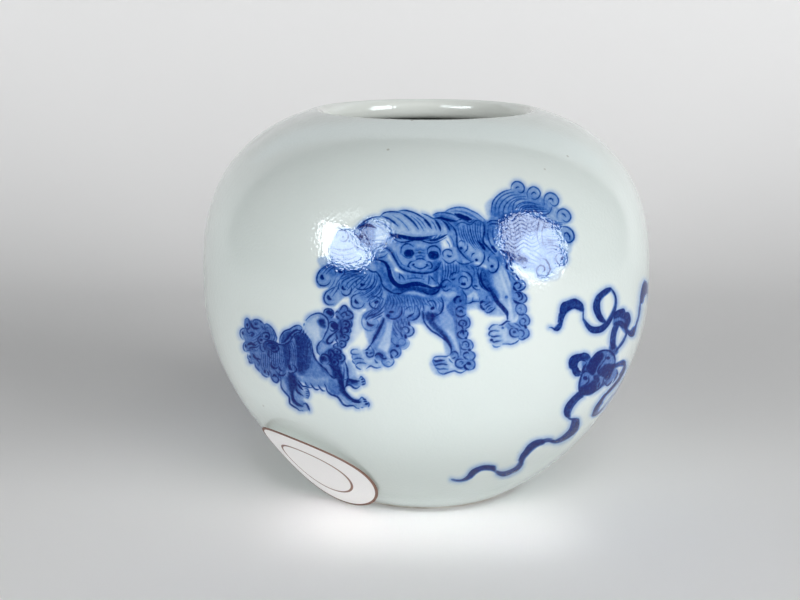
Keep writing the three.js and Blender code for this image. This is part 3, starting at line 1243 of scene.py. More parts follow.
    body: Marks = (
        pool(0.08, 2, 485,250, 497,256, 508,262, 511,275, 515,292, 517,310, 518,321, 508,321, 507,312,
            500,303, 494,295, 486,288, 480,278, 482,266),
        line(2.2, 0.98, 482,270, 480.5,275, 481,280, 483,285, 487,289.5, 491,292),
        line(4.4, 0.88, 489,288, 493,294, 497,301.5, 501,306, 505,310.5, 507,314, 507.5,319),
        pool(0.48, 2.6, 480,267, 486,271, 489,277, 490,284, 495,290, 498,298, 502,304, 506,311, 503,309,
            496,303, 491,297, 486,290, 481,283, 479,275),
        line(1.5, 0.84, 478.5,268, 477.8,273, 479,278, 480,284, 484,289, 489,292),
        dot(0.55, 3.2, 506.5,297),
        pool(0.16, 1.5, 456,288, 470,289, 486,292, 494,300, 492,304, 480,302, 466,304, 458,298),
        line(1.4, 0.78, 466,303.3, 470,303, 473,301.5, 479,301.5),
        line(1.1, 0.58, 473,297, 472.5,301),
        line(1.1, 0.58, 480,297, 479.5,300.5),
        line(1.2, 0.63, 487,295.5, 486,299.5),
        pool(0.2, 1.2, 480,301, 488,301, 496,304, 495,309, 488,313, 482,309),
        line(2.4, 0.95, 480.5,304, 481.5,302, 484,301.5),
        line(2.6, 0.98, 480.5,305, 482,308, 484.5,310),
        line(1.6, 0.84, 485,311.5, 488,312.7, 492,311, 495,308.2),
        line(1.4, 0.73, 484,306, 487,304, 490,302.5),
        line(1.4, 0.73, 486,309, 488,306.5, 491,305),
        line(1.2, 0.63, 487.5,311, 489.5,308.5, 493,307),
        pool(0.18, 2, 491,268, 499,272, 503,283, 507,296, 509,306, 503,302, 498,290, 493,280),
    )
    hind_fringe: Marks = (
        pool(0.34, 1.4, 500,250, 506,252, 510.5,256, 511,263, 509,267, 512,271, 516,276, 520,279, 524,284,
            524,289, 521,291, 526,296, 526,301, 522,303.5, 526,308, 526,313, 520,315, 516,312, 515,304,
            512,298, 511,290, 510,282, 507,274, 503,266, 498,258),
        line(2, 0.88, 500,250, 503,251.5, 507,252.5, 510,255),
        line(2, 0.88, 509,255, 511.5,259, 510.5,264, 512,265.5),
        line(1.3, 0.63, 503,255, 507,259, 509,263),
        line(1.3, 0.63, 504,261, 507,264, 509,264),
        line(1.2, 0.58, 502,252, 504,258, 505,262),
        line(2.4, 0.98, 507,263.5, 506.5,267, 507.5,269.5),
        line(1.8, 0.88, 510,267.5, 512,270, 513.5,270.5),
        line(1.6, 0.84, 511,272.5, 513,274, 515.5,273.5),
        line(2, 0.88, 516,274.5, 518,278, 520.5,279.5),
        line(1.3, 0.58, 507,271, 509,275, 510,280),
        line(1.3, 0.52, 511,276, 514,279, 516,282),
        line(2.2, 0.98, 514,285, 516,283, 519,282.5),
        line(1.8, 0.88, 519,282.5, 520.7,284.5, 520,287.5, 517.5,288.5),
        line(2.2, 0.98, 513.5,286, 514.5,289, 517,291),
        line(1.7, 0.84, 520,279, 524,282, 525.3,286, 523.5,289, 520,290.5, 516,290.5),
        line(2, 0.88, 515,293, 518,292, 521,293.5, 522.5,296.5, 521.5,299.5, 519,300.5),
        line(2.4, 0.98, 517,293, 519.5,295.5, 518.5,297),
        line(1.7, 0.78, 522,292.5, 525.5,295.5, 526.8,299, 525,302, 521,303.5),
        line(2.4, 0.98, 513.5,300, 516.5,302.5, 521,303.6),
        line(1.5, 0.76, 515.7,311, 516,306.5, 519,303.8, 523,304, 526,307, 526.5,311, 524.5,314),
        line(1.2, 0.52, 518.5,309, 520.5,308, 522,310),
        line(1.6, 0.73, 516,311, 518.5,314, 522,315, 525,314.5),
        pool(0.33, 1.3, 508,322, 514,323, 518,320, 519,315, 524,314, 529,319, 529.5,324, 526,327, 529,331,
            529,336, 525,339, 521,340, 518,338, 514,336.5, 510,334, 508,329, 505,326),
        line(1.8, 0.85, 521.5,319, 523.5,318.5, 525.5,320.5, 524.5,323),
        line(1.5, 0.73, 519,315.5, 523,314, 527,315.5, 529.5,319.5, 529,323.5, 526.5,325.5),
        line(1.5, 0.78, 520,320, 519.8,323, 522,325.5, 525.5,326),
        line(2.4, 0.98, 524.5,325, 526.5,328.5),
        line(1.5, 0.76, 527,328.5, 529,332, 528.5,336, 525,338.5, 521.5,339.8, 518.5,338),
        line(1.6, 0.78, 518,331.5, 520.5,330, 523.5,331.5, 524,334.5, 522,337),
        line(1.8, 0.88, 513,328, 510.5,329.5, 509.8,333, 511.5,336, 515,337, 518.5,336.5),
        line(1.6, 0.78, 513.5,327.8, 517,329, 518.5,332),
        dot(0.94, 2.8, 514.3,332),
        line(1.4, 0.63, 508,323, 511,326, 515,327),
        line(1.4, 0.63, 514,323, 518,325, 521,328),
        line(2, 0.88, 510,321.5, 507,321.2, 504.5,323, 502,324.8, 499,325.2),
        line(1.5, 0.76, 498,324.7, 493,325, 490.5,327, 489,329, 490,330),
        line(1.8, 0.85, 495,330.3, 490.5,331.5, 489,334, 489.5,336),
        line(1.6, 0.52, 493,330.5, 496,330.8, 499.5,331),
        line(1.8, 0.84, 490,335.5, 493,336.7, 497,336.2, 500,336),
        dot(1, 2.6, 491.5,340),
        line(1.8, 0.84, 492,339, 493.5,342, 496,341.5, 501,340.8),
        line(1.5, 0.63, 492.5,345, 494.5,346.8, 497,347, 500,346.3),
        line(1.5, 0.78, 503,344, 508,344, 511,344.2, 515,343, 517.5,341.3, 519,339.8),
        dot(0.61, 2.6, 502.8,327.8),
        pool(0.14, 1.5, 490,327, 500,326, 508,326, 510,335, 517,339, 510,343, 495,346, 490,340),
        pool(0.2, 2, 501,256, 504,270, 509,285, 514,300, 516,316, 513,318, 510,300, 505,284, 500,268),
    )
    tail: Marks = (
        pool(0.22, 1.8, 491,213, 493,204, 498,196, 506,191, 513,189, 512,184, 519,181, 524,186, 529,188,
            536,188, 541,196, 546,194, 553,193, 558,200, 558,208, 565,209, 571,216, 568,223, 562,226,
            571,229, 575,236, 571,243, 564,241, 562,248, 567,256, 565,265, 557,264, 553,270, 546,278,
            538,276, 535,268, 525,268, 518,262, 512,258, 505,252, 496,246, 491,236, 489,224),
        line(1.7, 0.74, 491,213, 492,205, 494,200, 498,195.5, 504,191.5, 511,189.5),
        line(1.3, 0.65, 495,214, 495.5,206, 498,200, 503,195.5, 509,193, 514,192),
        line(1.3, 0.65, 499,216, 499,208, 502,202, 507,197.5, 513,195, 519,195),
        line(1.3, 0.65, 503,215, 504,208, 507,203, 512,199, 518,197, 526,196.5),
        line(1.2, 0.58, 508,214, 508.5,208, 511,203, 516,199.5, 522,198),
        line(1.3, 0.65, 513,214, 513,207, 515,202, 520,199.5, 527,199),
        line(1.3, 0.65, 516,214, 516,208, 519,204, 525,202, 531,202.5, 536,204, 541,205),
        pool(0.2, 2.2, 521,206, 530,202, 541,203, 550,206, 551,212, 543,214, 533,213, 524,213, 518,216),
        line(1.5, 0.78, 520,212, 524,211, 529,212, 535,211, 541,214, 545,215, 550,212, 552,207),
        line(1.3, 0.68, 522,208, 528,206.5, 536,207, 543,210),
        line(1.3, 0.63, 531,208, 538,209.5, 546,209),
        line(1.5, 0.71, 511,190, 511.5,185.5, 514.5,182, 518.5,181.7, 522.5,184, 524.3,188, 523.3,191.5,
            521,192.8, 518.5,191.8),
        line(1.6, 0.74, 515.5,188.3, 517.5,187, 519.3,187.2),
        line(1.5, 0.71, 528,198, 527,193.5, 529,189, 533,186.8, 537.5,188.5, 540.3,193, 539,197,
            535.5,199.3, 532,198.5),
        line(1.6, 0.74, 531.5,194.5, 532.5,192.8, 534.5,192.3, 536,194),
        line(1.5, 0.71, 544.5,205, 544,199, 546,194.5, 550,192.8, 555,194.5, 558.3,199, 558,203.5, 555,206,
            552,205, 550,202.5),
        line(1.6, 0.74, 548,200, 550,198.6, 552.5,199.3, 553,201.5),
        line(1.6, 0.73, 557,218, 557.5,212.5, 561,209.3, 565,209.3, 569,212.5, 570.8,217, 569,220.8,
            566,222, 563,220),
        line(1.7, 0.74, 562,213.5, 564,214.5, 566,216.8),
        line(1.6, 0.73, 557,228.5, 562,226.8, 567,227, 571.5,230, 574,235, 573.5,239.5, 570,242.3, 567,242,
            565,240),
        line(1.9, 0.82, 564.5,236, 564.8,233.5, 567,233, 569.5,236, 569.8,239.5),
        Hairs(((545,216),(551,220),(557,222),(563,223)), ((543,228),(549,227),(556,228),(561,230)), 5, 1.2,
            0.72),
        line(1.4, 0.71, 563,250, 566,254, 567.3,258, 566.5,262, 563.5,265, 560.5,265.5, 558,263.5, 556,260,
            556,256.5, 558,254, 561,253),
        line(1.9, 0.82, 561,260, 563,256.5),
        line(1.3, 0.63, 545,247, 550,245.5, 556,246, 560,248.5, 563,252),
        line(1.3, 0.58, 546,250, 551,248.5, 556,249.5, 559,252),
        line(1.2, 0.52, 547,253.5, 552,251.5, 556,252.5),
        line(1.3, 0.63, 546,239.5, 552,240.5, 558,240, 564,241.5),
        line(1.2, 0.52, 546,236, 552,237, 559,236.5),
        line(1.6, 0.78, 541,258, 546,260, 549,265, 550,270, 548,274, 544.5,278),
        line(1.5, 0.76, 537,270, 538.5,266.5, 541,265.3, 544,266.5, 545,269, 544,271, 542.5,272),
        line(1.4, 0.68, 536.5,268, 536.5,272, 538.5,275.5, 542,277),
        line(1.3, 0.58, 520.5,265, 524,268, 527,266),
        line(1.3, 0.58, 521,259, 524,257.5, 527,260, 526.5,263),
        Hairs(((496,221),(504,217),(512,221),(520,216),(529,220),(538,215)),
            ((498,252),(507,247),(515,252),(524,247),(533,251),(541,247)), 9, 1.2, 0.56),
        Hairs(((499,226),(503,231),(500,236),(505,241)), ((534,222),(530,228),(536,233),(531,240)), 8, 1.1,
            0.46),
        Hairs(((541,235),(549,239),(558,239.5)), ((541,246),(549,244),(558,246)), 4, 1.1, 0.55),
        Hairs(((505,256),(512,262),(519,262)), ((516,252),(522,258),(529,257)), 4, 1.1, 0.5),
        Hairs(((517,213),(519,206),(527,203),(538,205)), ((524,214),(528,211),(538,212),(549,211)), 5, 1.2,
            0.66),
        pool(0.46, 3, 500,217, 512,213, 535,214, 548,221, 544,230, 528,234, 518,246, 528,258, 524,264,
            514,262, 505,254, 500,240, 499,228),
        pool(0.2, 2, 491,215, 493,205, 500,199, 509,201, 517,209, 520,216, 506,218),
        pool(0.2, 2.5, 542,238, 562,246, 566,262, 548,272, 538,264, 540,250),
        Hairs(((520,258),(528,262),(536,264)), ((533,250),(539,254),(544,259)), 4, 1.1, 0.5),
        line(1.3, 0.63, 540,217, 538,226, 537,236, 540,246),
        line(1.3, 0.58, 545,222, 542,232, 543,243, 546,248),
        pool(0.14, 2, 485,204, 492,199, 497,206, 496,216, 490,222, 486,214),
        pool(0.26, 2.5, 506,252, 520,256, 532,262, 540,270, 530,272, 518,266, 508,260),
        pool(0.16, 2, 512,189, 523,190, 536,196, 548,200, 545,205, 530,202, 514,197),
        pool(0.16, 1.5, 494,214, 504,212, 503,224, 495,224),
        pool(0.14, 1.5, 510,205, 517,205, 517,219, 510,219),
        pool(0.14, 2, 545,228, 556,228, 556,236, 545,236),
        pool(0.14, 2, 564,236, 572,236, 571,252, 563,252),
        pool(0.1, 2.5, 520,266, 545,268, 560,270, 556,280, 530,278),
    )
    mane_left: Marks = (
        pool(0.29, 1.6, 331,244, 340,230, 350,229, 358,234, 366,240, 372,250, 376,260, 388,275, 392,292,
            386,304, 378,314, 368,320, 362,316, 366,309, 352,309, 350,300, 346,296, 334,306, 324,303,
            323,294, 328,288, 318,287, 316,276, 322,267, 331,262, 329,252),
        line(1.5, 0.84, 331,264, 326,266, 320.5,270, 317.3,275.5, 317,281, 320,285, 325,285.8, 329,283.5,
            331,280),
        line(3.6, 0.95, 322,275, 321.8,277.5, 323.5,279),
        line(1.3, 0.63, 333,263, 327,266.5, 322,271),
        line(2.4, 0.98, 338,270, 340,272, 343,272.5),
        line(1.5, 0.78, 345,268, 344,274, 340,277.5),
        line(1.3, 0.68, 334,266, 335,270, 335.5,274),
        line(1.5, 0.84, 337,286, 331,289, 326,292.5, 324,297.5, 325,302, 328.5,304.8, 333,304.5),
        line(3.4, 0.95, 328,295.5, 328.5,298, 331,299.5),
        line(1.3, 0.68, 339,290, 338.5,286, 340,281.5),
        line(1.5, 0.84, 341,291, 342.5,294, 346,295.7, 350,293.5, 351.5,289, 350.5,286),
        line(2.6, 0.98, 342.5,286, 343,288.5, 345.5,289.5),
        line(1.4, 0.73, 357,286, 356,282.5, 358,279.5, 361.5,279, 364.5,281),
        line(2.8, 0.98, 361,283.5, 362,285, 364.5,284.5),
        line(1.6, 0.84, 354,286, 358,289, 364,289.5, 369,288, 373,284, 375,278),
        line(1.3, 0.68, 354,279, 358,277, 362,276.5, 366,278.5),
        line(1.5, 0.84, 363,292.5, 357,294, 353,296, 351.5,299, 351.5,304.5, 354,307.5, 358,308.5, 362,307,
            364.5,303.5),
        line(2.8, 0.98, 355.5,299.5, 356,302, 358.5,303.5),
        line(1.5, 0.84, 370,301, 369.5,304, 371.5,307, 375,308.5, 379,308.3),
        line(3.4, 0.95, 375,302.8, 378,301.5),
        line(1.4, 0.73, 368,300, 372,297, 376,296.5, 380,299, 380,302),
        line(1.8, 0.84, 364,266, 367,268, 370,270.5, 373,272, 376,272, 379,275, 381,280, 382,284.5,
            385,289, 389,291.5),
        line(1.4, 0.73, 349,269, 352,271, 357,271.5, 361,270, 363,266.5),
        line(1.4, 0.68, 376,274, 377,280, 374,287, 367,293, 360,296.5),
        line(1.4, 0.68, 380,278, 380,285, 376,291, 369,296, 364,298),
        line(1.4, 0.68, 358,274, 350,277, 343,281, 340,287),
        line(1.4, 0.68, 387,300, 384,306, 380,311, 374,316, 368,320),
        line(1.3, 0.63, 384,298, 381,304, 376,310),
        line(1.3, 0.63, 382,292, 381,297, 384,300),
        line(1.2, 0.58, 370,275, 370,281, 366,285),
        line(1.2, 0.58, 346,273, 341,278, 337,283),
        line(1.2, 0.58, 353,273, 346,276.5, 341,279.5),
        line(1.2, 0.58, 348,282, 347,286, 349,289),
        line(1.5, 0.73, 336,236, 338,231.5, 343,230, 347.5,233, 348,238, 344.5,241.5, 340,240.5),
        line(1.6, 0.78, 342,237, 344,236),
        line(1.4, 0.63, 331,247, 337,249.5, 343,250, 350,249, 356,246),
        line(1.3, 0.58, 332,252, 338,254.5, 345,255, 353,253),
        line(1.3, 0.58, 334,258, 341,260, 349,259.5, 357,256),
        line(1.3, 0.58, 337,263, 345,264.5, 353,263, 361,259),
        line(1.3, 0.58, 350,240, 355,246, 362,250, 370,252),
        line(1.3, 0.52, 364,254, 368,259, 373,262),
        line(1.3, 0.52, 358,262, 364,264, 370,266),
        pool(0.28, 2, 327,269, 334,266, 345,268, 360,269, 366,271, 358,275, 342,275, 331,277),
        Hairs(((361,275),(352,277),(344,281),(340.5,288)), ((374.5,273),(374.5,281),(371,288),(360,295.5)),
            7, 1.2, 0.66),
        Hairs(((377,275),(379,283),(374,291),(362,297.5)), ((383,289),(381.5,295),(376,299.5),(370,303.5)),
            4, 1.2, 0.64),
        Hairs(((358,269.5),(350,271),(340,273.5)), ((362,273.5),(352,275),(342,279)), 3, 1.1, 0.6),
        Hairs(((336,277),(333,284),(327,291)), ((340,284),(337,290),(332,297)), 3, 1.1, 0.62),
        Hairs(((386,299),(384,306),(377,312),(368,316)), ((378,300),(374,308),(367,313),(364,318)), 4, 1.2,
            0.62),
        Hairs(((332,264),(325,267),(320,273)), ((337,266),(331,269),(326,274)), 3, 1.2, 0.7),
        pool(0.1, 2.2, 345,272, 362,270, 376,273, 381,282, 383,292, 376,300, 366,302, 358,297, 360,290,
            352,287, 343,288, 340,281),
        pool(0.18, 2, 318,258, 334,256, 336,266, 322,268),
        pool(0.08, 3, 306,314, 334,314, 336,326, 312,326),
        pool(0.09, 2.5, 350,310, 364,312, 362,330, 350,345, 346,330),
    )
    beard: Marks = (
        pool(0.31, 1.5, 386,298, 400,294, 420,296, 440,297, 444,303, 442,311, 436,317, 433,321, 428,320,
            424,322, 420,315, 417,319, 411,321, 410,326, 414,331, 411,336, 407,339, 409,343, 406,348,
            401,350, 401,354, 398,358, 392,358, 388,352, 391,344, 391,335, 393,325, 393,319, 386,317),
        pool(0.2, 2.2, 388,294, 405,293, 420,295, 424,304, 400,304, 388,302),
        Hairs(((387,295),(388,301),(385,308)), ((398,295),(403,303),(401,312)), 6, 1, 0.62),
        Hairs(((402,296),(402,304),(406,310)), ((416,296),(421,304),(419,313)), 7, 1, 0.62),
        Hairs(((420,298),(422,303),(427,305)), ((438,299),(443,304),(441,311)), 7, 1, 0.62),
        Hairs(((424,306),(425,312),(427,318)), ((432,312),(433,316),(436,316)), 3, 1, 0.5),
        Hairs(((393,320),(393,327),(398,335)), ((408,318),(406,325),(408,328)), 6, 1, 0.58),
        pool(0.24, 2.4, 384,303, 396,302, 402,312, 408,316, 420,314, 436,314, 434,323, 420,324, 406,324,
            394,323, 386,320),
        line(2.6, 0.95, 389.5,312, 393.5,312),
        line(3, 0.98, 386.5,315, 389.5,316.5),
        line(1.7, 0.88, 387,316, 390,318.5, 395,319, 400,316, 402,310, 400,303),
        line(2.2, 0.95, 407,317.8, 409.5,316, 411.5,315, 413.8,313.3),
        line(1.7, 0.85, 416,305, 419,310, 419.3,315, 417,318.2, 413.5,320, 410,320),
        line(1.4, 0.73, 405.5,310, 408,307.5, 412,306.5),
        line(1.4, 0.73, 427,303, 429.5,300.8, 433,301, 435.5,304, 435,308),
        line(3, 0.98, 431,309, 434,307.5),
        line(1.7, 0.85, 441,297, 443,302, 443,308, 440.5,313, 435,316.3),
        line(1.8, 0.88, 423,311, 423.5,316, 424,320),
        line(1.4, 0.73, 421,300, 423,305, 424,311),
        line(2, 0.88, 409,321, 409,324, 410.5,326),
        line(1.7, 0.84, 402,331, 402.5,328, 405.5,326.8, 408.5,328.5, 409,331, 407.5,333, 405,333),
        line(1.6, 0.78, 410,325, 413,328, 414,331.5, 412,335, 408.5,336.3, 405,335.5),
        line(2.6, 0.95, 405.3,334.5, 406,338.5),
        line(1.8, 0.85, 400.5,332, 401.5,335, 403,337),
        line(1.2, 0.33, 407,338.5, 409.3,342, 408.5,346, 405,349, 401.5,350),
        line(1.5, 0.47, 399,340, 401,338.5, 404,339, 405.5,342, 404,345, 400.5,345.5),
        dot(0.99, 3, 397.5,346),
        line(1.4, 0.63, 391.5,338, 391.5,341.5, 394,344, 396.5,345.5),
        line(1.3, 0.68, 394,319, 394,324, 397,329, 400.5,333.5),
        line(1.3, 0.68, 397,318, 397.5,322, 400,327, 402,331),
        line(1.3, 0.65, 401,318, 402,322, 404,326),
        line(1.2, 0.63, 392,325, 394,331, 398,335.5),
        line(1.2, 0.58, 392.5,331, 395,335, 398,338),
        line(1.2, 0.58, 405,319, 406,323, 407.5,326),
        line(1.2, 0.52, 400,305, 400,312, 398,317),
        line(1.2, 0.58, 404,303, 404.5,309, 403.5,316),
        line(1.9, 0.88, 390.5,355, 391,351.5, 394,350, 397,352, 397.5,354.5, 395,356.5),
        line(2.2, 0.98, 390.8,354, 391.5,357, 393,357.5),
        line(1.4, 0.52, 398.5,347, 400.8,350, 400.5,354, 398,357, 395,357.5),
        pool(0.16, 2, 394,326, 404,326, 404,345, 396,352, 390,350),
    )
    front_leg_left: Marks = (
        pool(0.26, 2.4, 367,322, 377,320, 379,332, 374,347, 368,342, 365,330),
        pool(0.12, 1.4, 362,320, 364,314, 372,310, 384,308, 385,316, 381,322, 377,329, 370,331, 364,328),
        line(1.3, 0.47, 378,309.5, 369,311, 364,315, 361.8,320, 362.3,325, 365,329, 369.5,330.8, 374,330),
        line(2, 0.85, 366,320, 366.5,318, 369,316, 374,314.5, 380,311.5),
        line(1.6, 0.78, 369,318.5, 374,317, 380,314, 384,311),
        line(1.5, 0.73, 374,319.5, 378,317.5, 382,315.5),
        line(2.6, 0.98, 367,321.5, 368.3,324.3, 371,325.4, 373.7,325),
        line(1.2, 0.37, 373,319.5, 377,320, 378.5,323, 377,327, 373.5,329.5),
        pool(0.7, 2.2, 382.5,318, 385,320, 383,325, 380.5,331, 377,337, 373.5,341, 374.5,335, 377,329,
            380,323),
        line(2.6, 0.98, 384,318.5, 382.5,323, 380,328, 377.5,333, 375,337, 373,341, 371,344.5),
        line(1.8, 0.88, 371.5,344, 369,347, 367.5,349, 365,350.3),
        pool(0.24, 1.6, 384,324, 380,334, 376,343, 372,349, 376,350, 381,341, 385,332, 387,324),
        pool(0.14, 1.6, 386,320, 393,324, 392,345, 390,352, 383,356, 375,352, 377,343, 382,333),
        line(1.4, 0.73, 357.5,349.2, 354,349.2, 351.5,350.5, 351,352.5, 352,354, 355,354.3, 359,354),
        line(1.3, 0.52, 352.5,354.5, 352,357, 353.2,359.3),
        line(1.6, 0.73, 353,359.5, 356.5,358.5, 360,358.3, 363.5,359.5),
        line(1.5, 0.68, 352.5,360, 353,362, 355.5,364.3),
        line(1.5, 0.73, 355.5,365, 357.5,363.3, 360.5,362.8, 364,363, 366,363.7),
        line(1.6, 0.78, 355.5,365.5, 357,367.5, 359.5,369, 361,369.5),
        line(1.5, 0.78, 366.5,368.5, 368.5,367, 371,366, 374,367.3, 377,368, 380.5,367.4),
        pool(0.16, 1.6, 352,350, 362,350, 372,350, 384,358, 388,366, 378,367, 368,366, 360,368, 354,362),
        pool(0.18, 1.2, 353,355, 362,354.5, 360,358, 354,358.5),
        pool(0.2, 1.2, 355,360, 364,360, 362,363, 355,363),
        line(1.7, 0.78, 366,352, 366.5,355, 369,357, 372.5,356.5, 374,353, 373.5,349.5),
        dot(0.83, 2.4, 366.8,353),
        line(1.8, 0.81, 369.5,353.5, 371.5,353, 373.5,353),
        pool(0.24, 1, 366,350, 373,348, 375,352, 373,357, 368,357),
        line(1.2, 0.52, 370,345, 372,348, 373,351),
        line(2.4, 0.98, 375,356, 377,353.8, 380,354, 382.5,356, 382,359),
        line(1.8, 0.88, 379,355, 383,358.5, 386.5,358.5),
        line(1.8, 0.78, 374.7,359.5, 376,362, 377.8,363),
        pool(0.34, 1.2, 376,353, 383,353, 387,358, 384,361, 378,360, 375,357),
        pool(0.2, 1.4, 374,348, 382,350, 388,354, 388,359, 380,356),
        line(1.5, 0.63, 382,358.5, 381.8,362, 384,365, 388,366.7, 392,365, 394,361.5, 392.5,358),
        line(1.2, 0.41, 386,362.5, 388,361.5, 390,362.5),
        pool(0.19, 1, 382,359, 392,358, 394,362, 388,366, 383,364),
        pool(0.1, 2.4, 378,308, 388,308, 391,320, 388,340, 380,352, 368,350, 372,338, 378,326),
    )
    front_leg_right: Marks = (
        pool(0.22, 2, 444,341, 452,343, 456,352, 450,356, 445,352),
        pool(0.2, 1.8, 434,312, 452,306, 456,325, 459,345, 459,356, 452,354, 451,345, 446,335, 437,325),
        pool(0.75, 2, 427,312, 431,313, 434,316, 434,320, 438,326, 443,331, 448,338, 450.5,344, 448,341.5,
            444,337.5, 438,333, 432,328, 428,322, 426,316),
        pool(0.27, 2.2, 431,312, 438,316, 441,324, 446,331, 451,340, 452,348, 449,344, 440,333, 433,324),
        line(2, 0.88, 422,311.5, 423,318, 425,323, 428,327, 432,331, 437,334, 442,337.5, 447,341.5,
            450,346, 451,350, 450.8,354),
        line(2.2, 0.98, 440,333, 445.5,338, 449,343, 451,348, 451.5,352),
        line(1.5, 0.71, 450,355, 446,356.5, 440,356.3, 435,357, 433.5,358.5),
        line(2.2, 0.98, 433.7,360, 436,361.2, 440,360.4, 444.5,360.3),
        line(1.7, 0.84, 433.5,363.5, 435,365.3, 438,364.5, 442,364, 446,364.5, 447.5,364.8),
        line(1.5, 0.68, 433.3,359, 433,361.5, 434.5,364),
        line(1.6, 0.68, 435,366.5, 437,368.5, 440,369.2, 444,368.8, 448,369.3),
        line(1.5, 0.78, 437.5,370, 439,372.5, 443,374, 447,373, 452,371.3, 455,371, 458,372.3, 461,372.8,
            464,371.5, 466,370.3),
        pool(0.12, 1.4, 434,357, 446,357, 453,361, 462,369, 455,371, 444,373, 437,369, 433,362),
        pool(0.2, 1, 435,361.5, 446,361, 446,363.5, 436,364),
        line(1.5, 0.73, 450,354.5, 452,352, 455,351.5, 457.5,353.5, 458.5,357),
        line(1.6, 0.78, 452,358.3, 454,358, 455.7,356.8),
        line(1.4, 0.58, 449,358.5, 450.5,361, 452.8,363),
        pool(0.27, 1.2, 450,354, 455,351, 459,356, 457,360, 452,360),
        pool(0.34, 1.4, 446,308, 455,298, 464,296, 467,303, 466,316, 470,321, 469,327, 466,330, 468,334,
            466.5,339, 471,341, 473,345, 471,350, 475,354, 474.5,358, 475,363, 474,368, 468,370.5, 460,369,
            456,366, 455,360, 459,355, 459,348, 456,338, 455,328, 453,318),
        line(2.4, 0.98, 455,303, 454.5,299.5, 457,297, 460,296.5),
        dot(0.97, 2.4, 460.5,301),
        line(1.5, 0.76, 462,289, 463.5,292, 466,296, 466.5,300),
        line(1.7, 0.85, 455.5,311.5, 457,308, 461,306.5, 464,308.5),
        line(1.7, 0.84, 455.5,311.5, 456.5,315, 460,316.7, 463.5,316, 465.7,314.3),
        line(1.8, 0.85, 459.5,311.8, 461.5,310.5, 462.3,312.7),
        line(1.7, 0.84, 459,323.5, 460,321, 463,320.3, 466,322, 466,325, 463.5,326.3),
        line(2, 0.88, 458,322, 459.5,325, 462,326.5, 463,329),
        line(1.5, 0.76, 466.5,316.5, 469,319, 470,323, 469,326.5, 466,328.5),
        line(1.4, 0.63, 462,322.5, 463.5,323.5, 463,325),
        line(2.6, 0.95, 460.5,333, 461.5,331, 463.2,331.5, 463.3,334),
        line(1.7, 0.85, 460,331, 457.5,334, 459,337, 462,338.7, 465,338.7),
        line(1.5, 0.78, 465.5,330.5, 468,333, 467,336.5, 465.5,338.5),
        dot(0.99, 2.4, 466,338),
        dot(0.94, 2.2, 466,331),
        line(1.6, 0.81, 462.5,346, 463,342.5, 466,341.5, 468.5,343.5, 468.5,346.5, 466.5,347),
        line(1.5, 0.73, 460.8,344, 461.5,348.5, 464.5,349.7, 468,349.3),
        line(1.4, 0.68, 466,339, 470.5,340.5, 473,344.5, 472.5,348, 470,350.5),
        dot(0.99, 2.8, 469.5,350),
        line(1.3, 0.63, 465,344, 466.5,344.5, 466,345.7),
        line(2, 0.88, 463,355.3, 464.5,353.3, 467.5,352.5, 469,354),
        line(1.7, 0.85, 463,355.5, 465,358, 468,359.5),
        line(1.5, 0.73, 470,351, 474,353, 475,356.5, 473,359.5, 470.5,360.5),
        line(3, 0.96, 466.5,364, 468.5,363.3, 470.7,364.7),
        line(2.2, 0.98, 467,363.5, 464.5,366, 466,368.5, 469,369.8),
        line(1.5, 0.73, 471,359.5, 474,361.5, 475,365, 473.5,368.5, 470,370),
        line(1.7, 0.84, 464,367, 461,368, 457.5,367, 455.5,364.5, 456,361, 459,359.3, 463,359.5),
        line(1.5, 0.73, 459.5,362, 461.5,361.5, 463,363, 461.5,364.3),
        line(1.2, 0.52, 459,340, 460,348, 461,355),
        line(1.2, 0.52, 456,318, 457,330),
        pool(0.12, 1.5, 430,362, 446,364, 448,374, 434,374),
        pool(0.18, 2.5, 436,312, 466,312, 468,330, 462,336, 448,330, 438,322),
    )


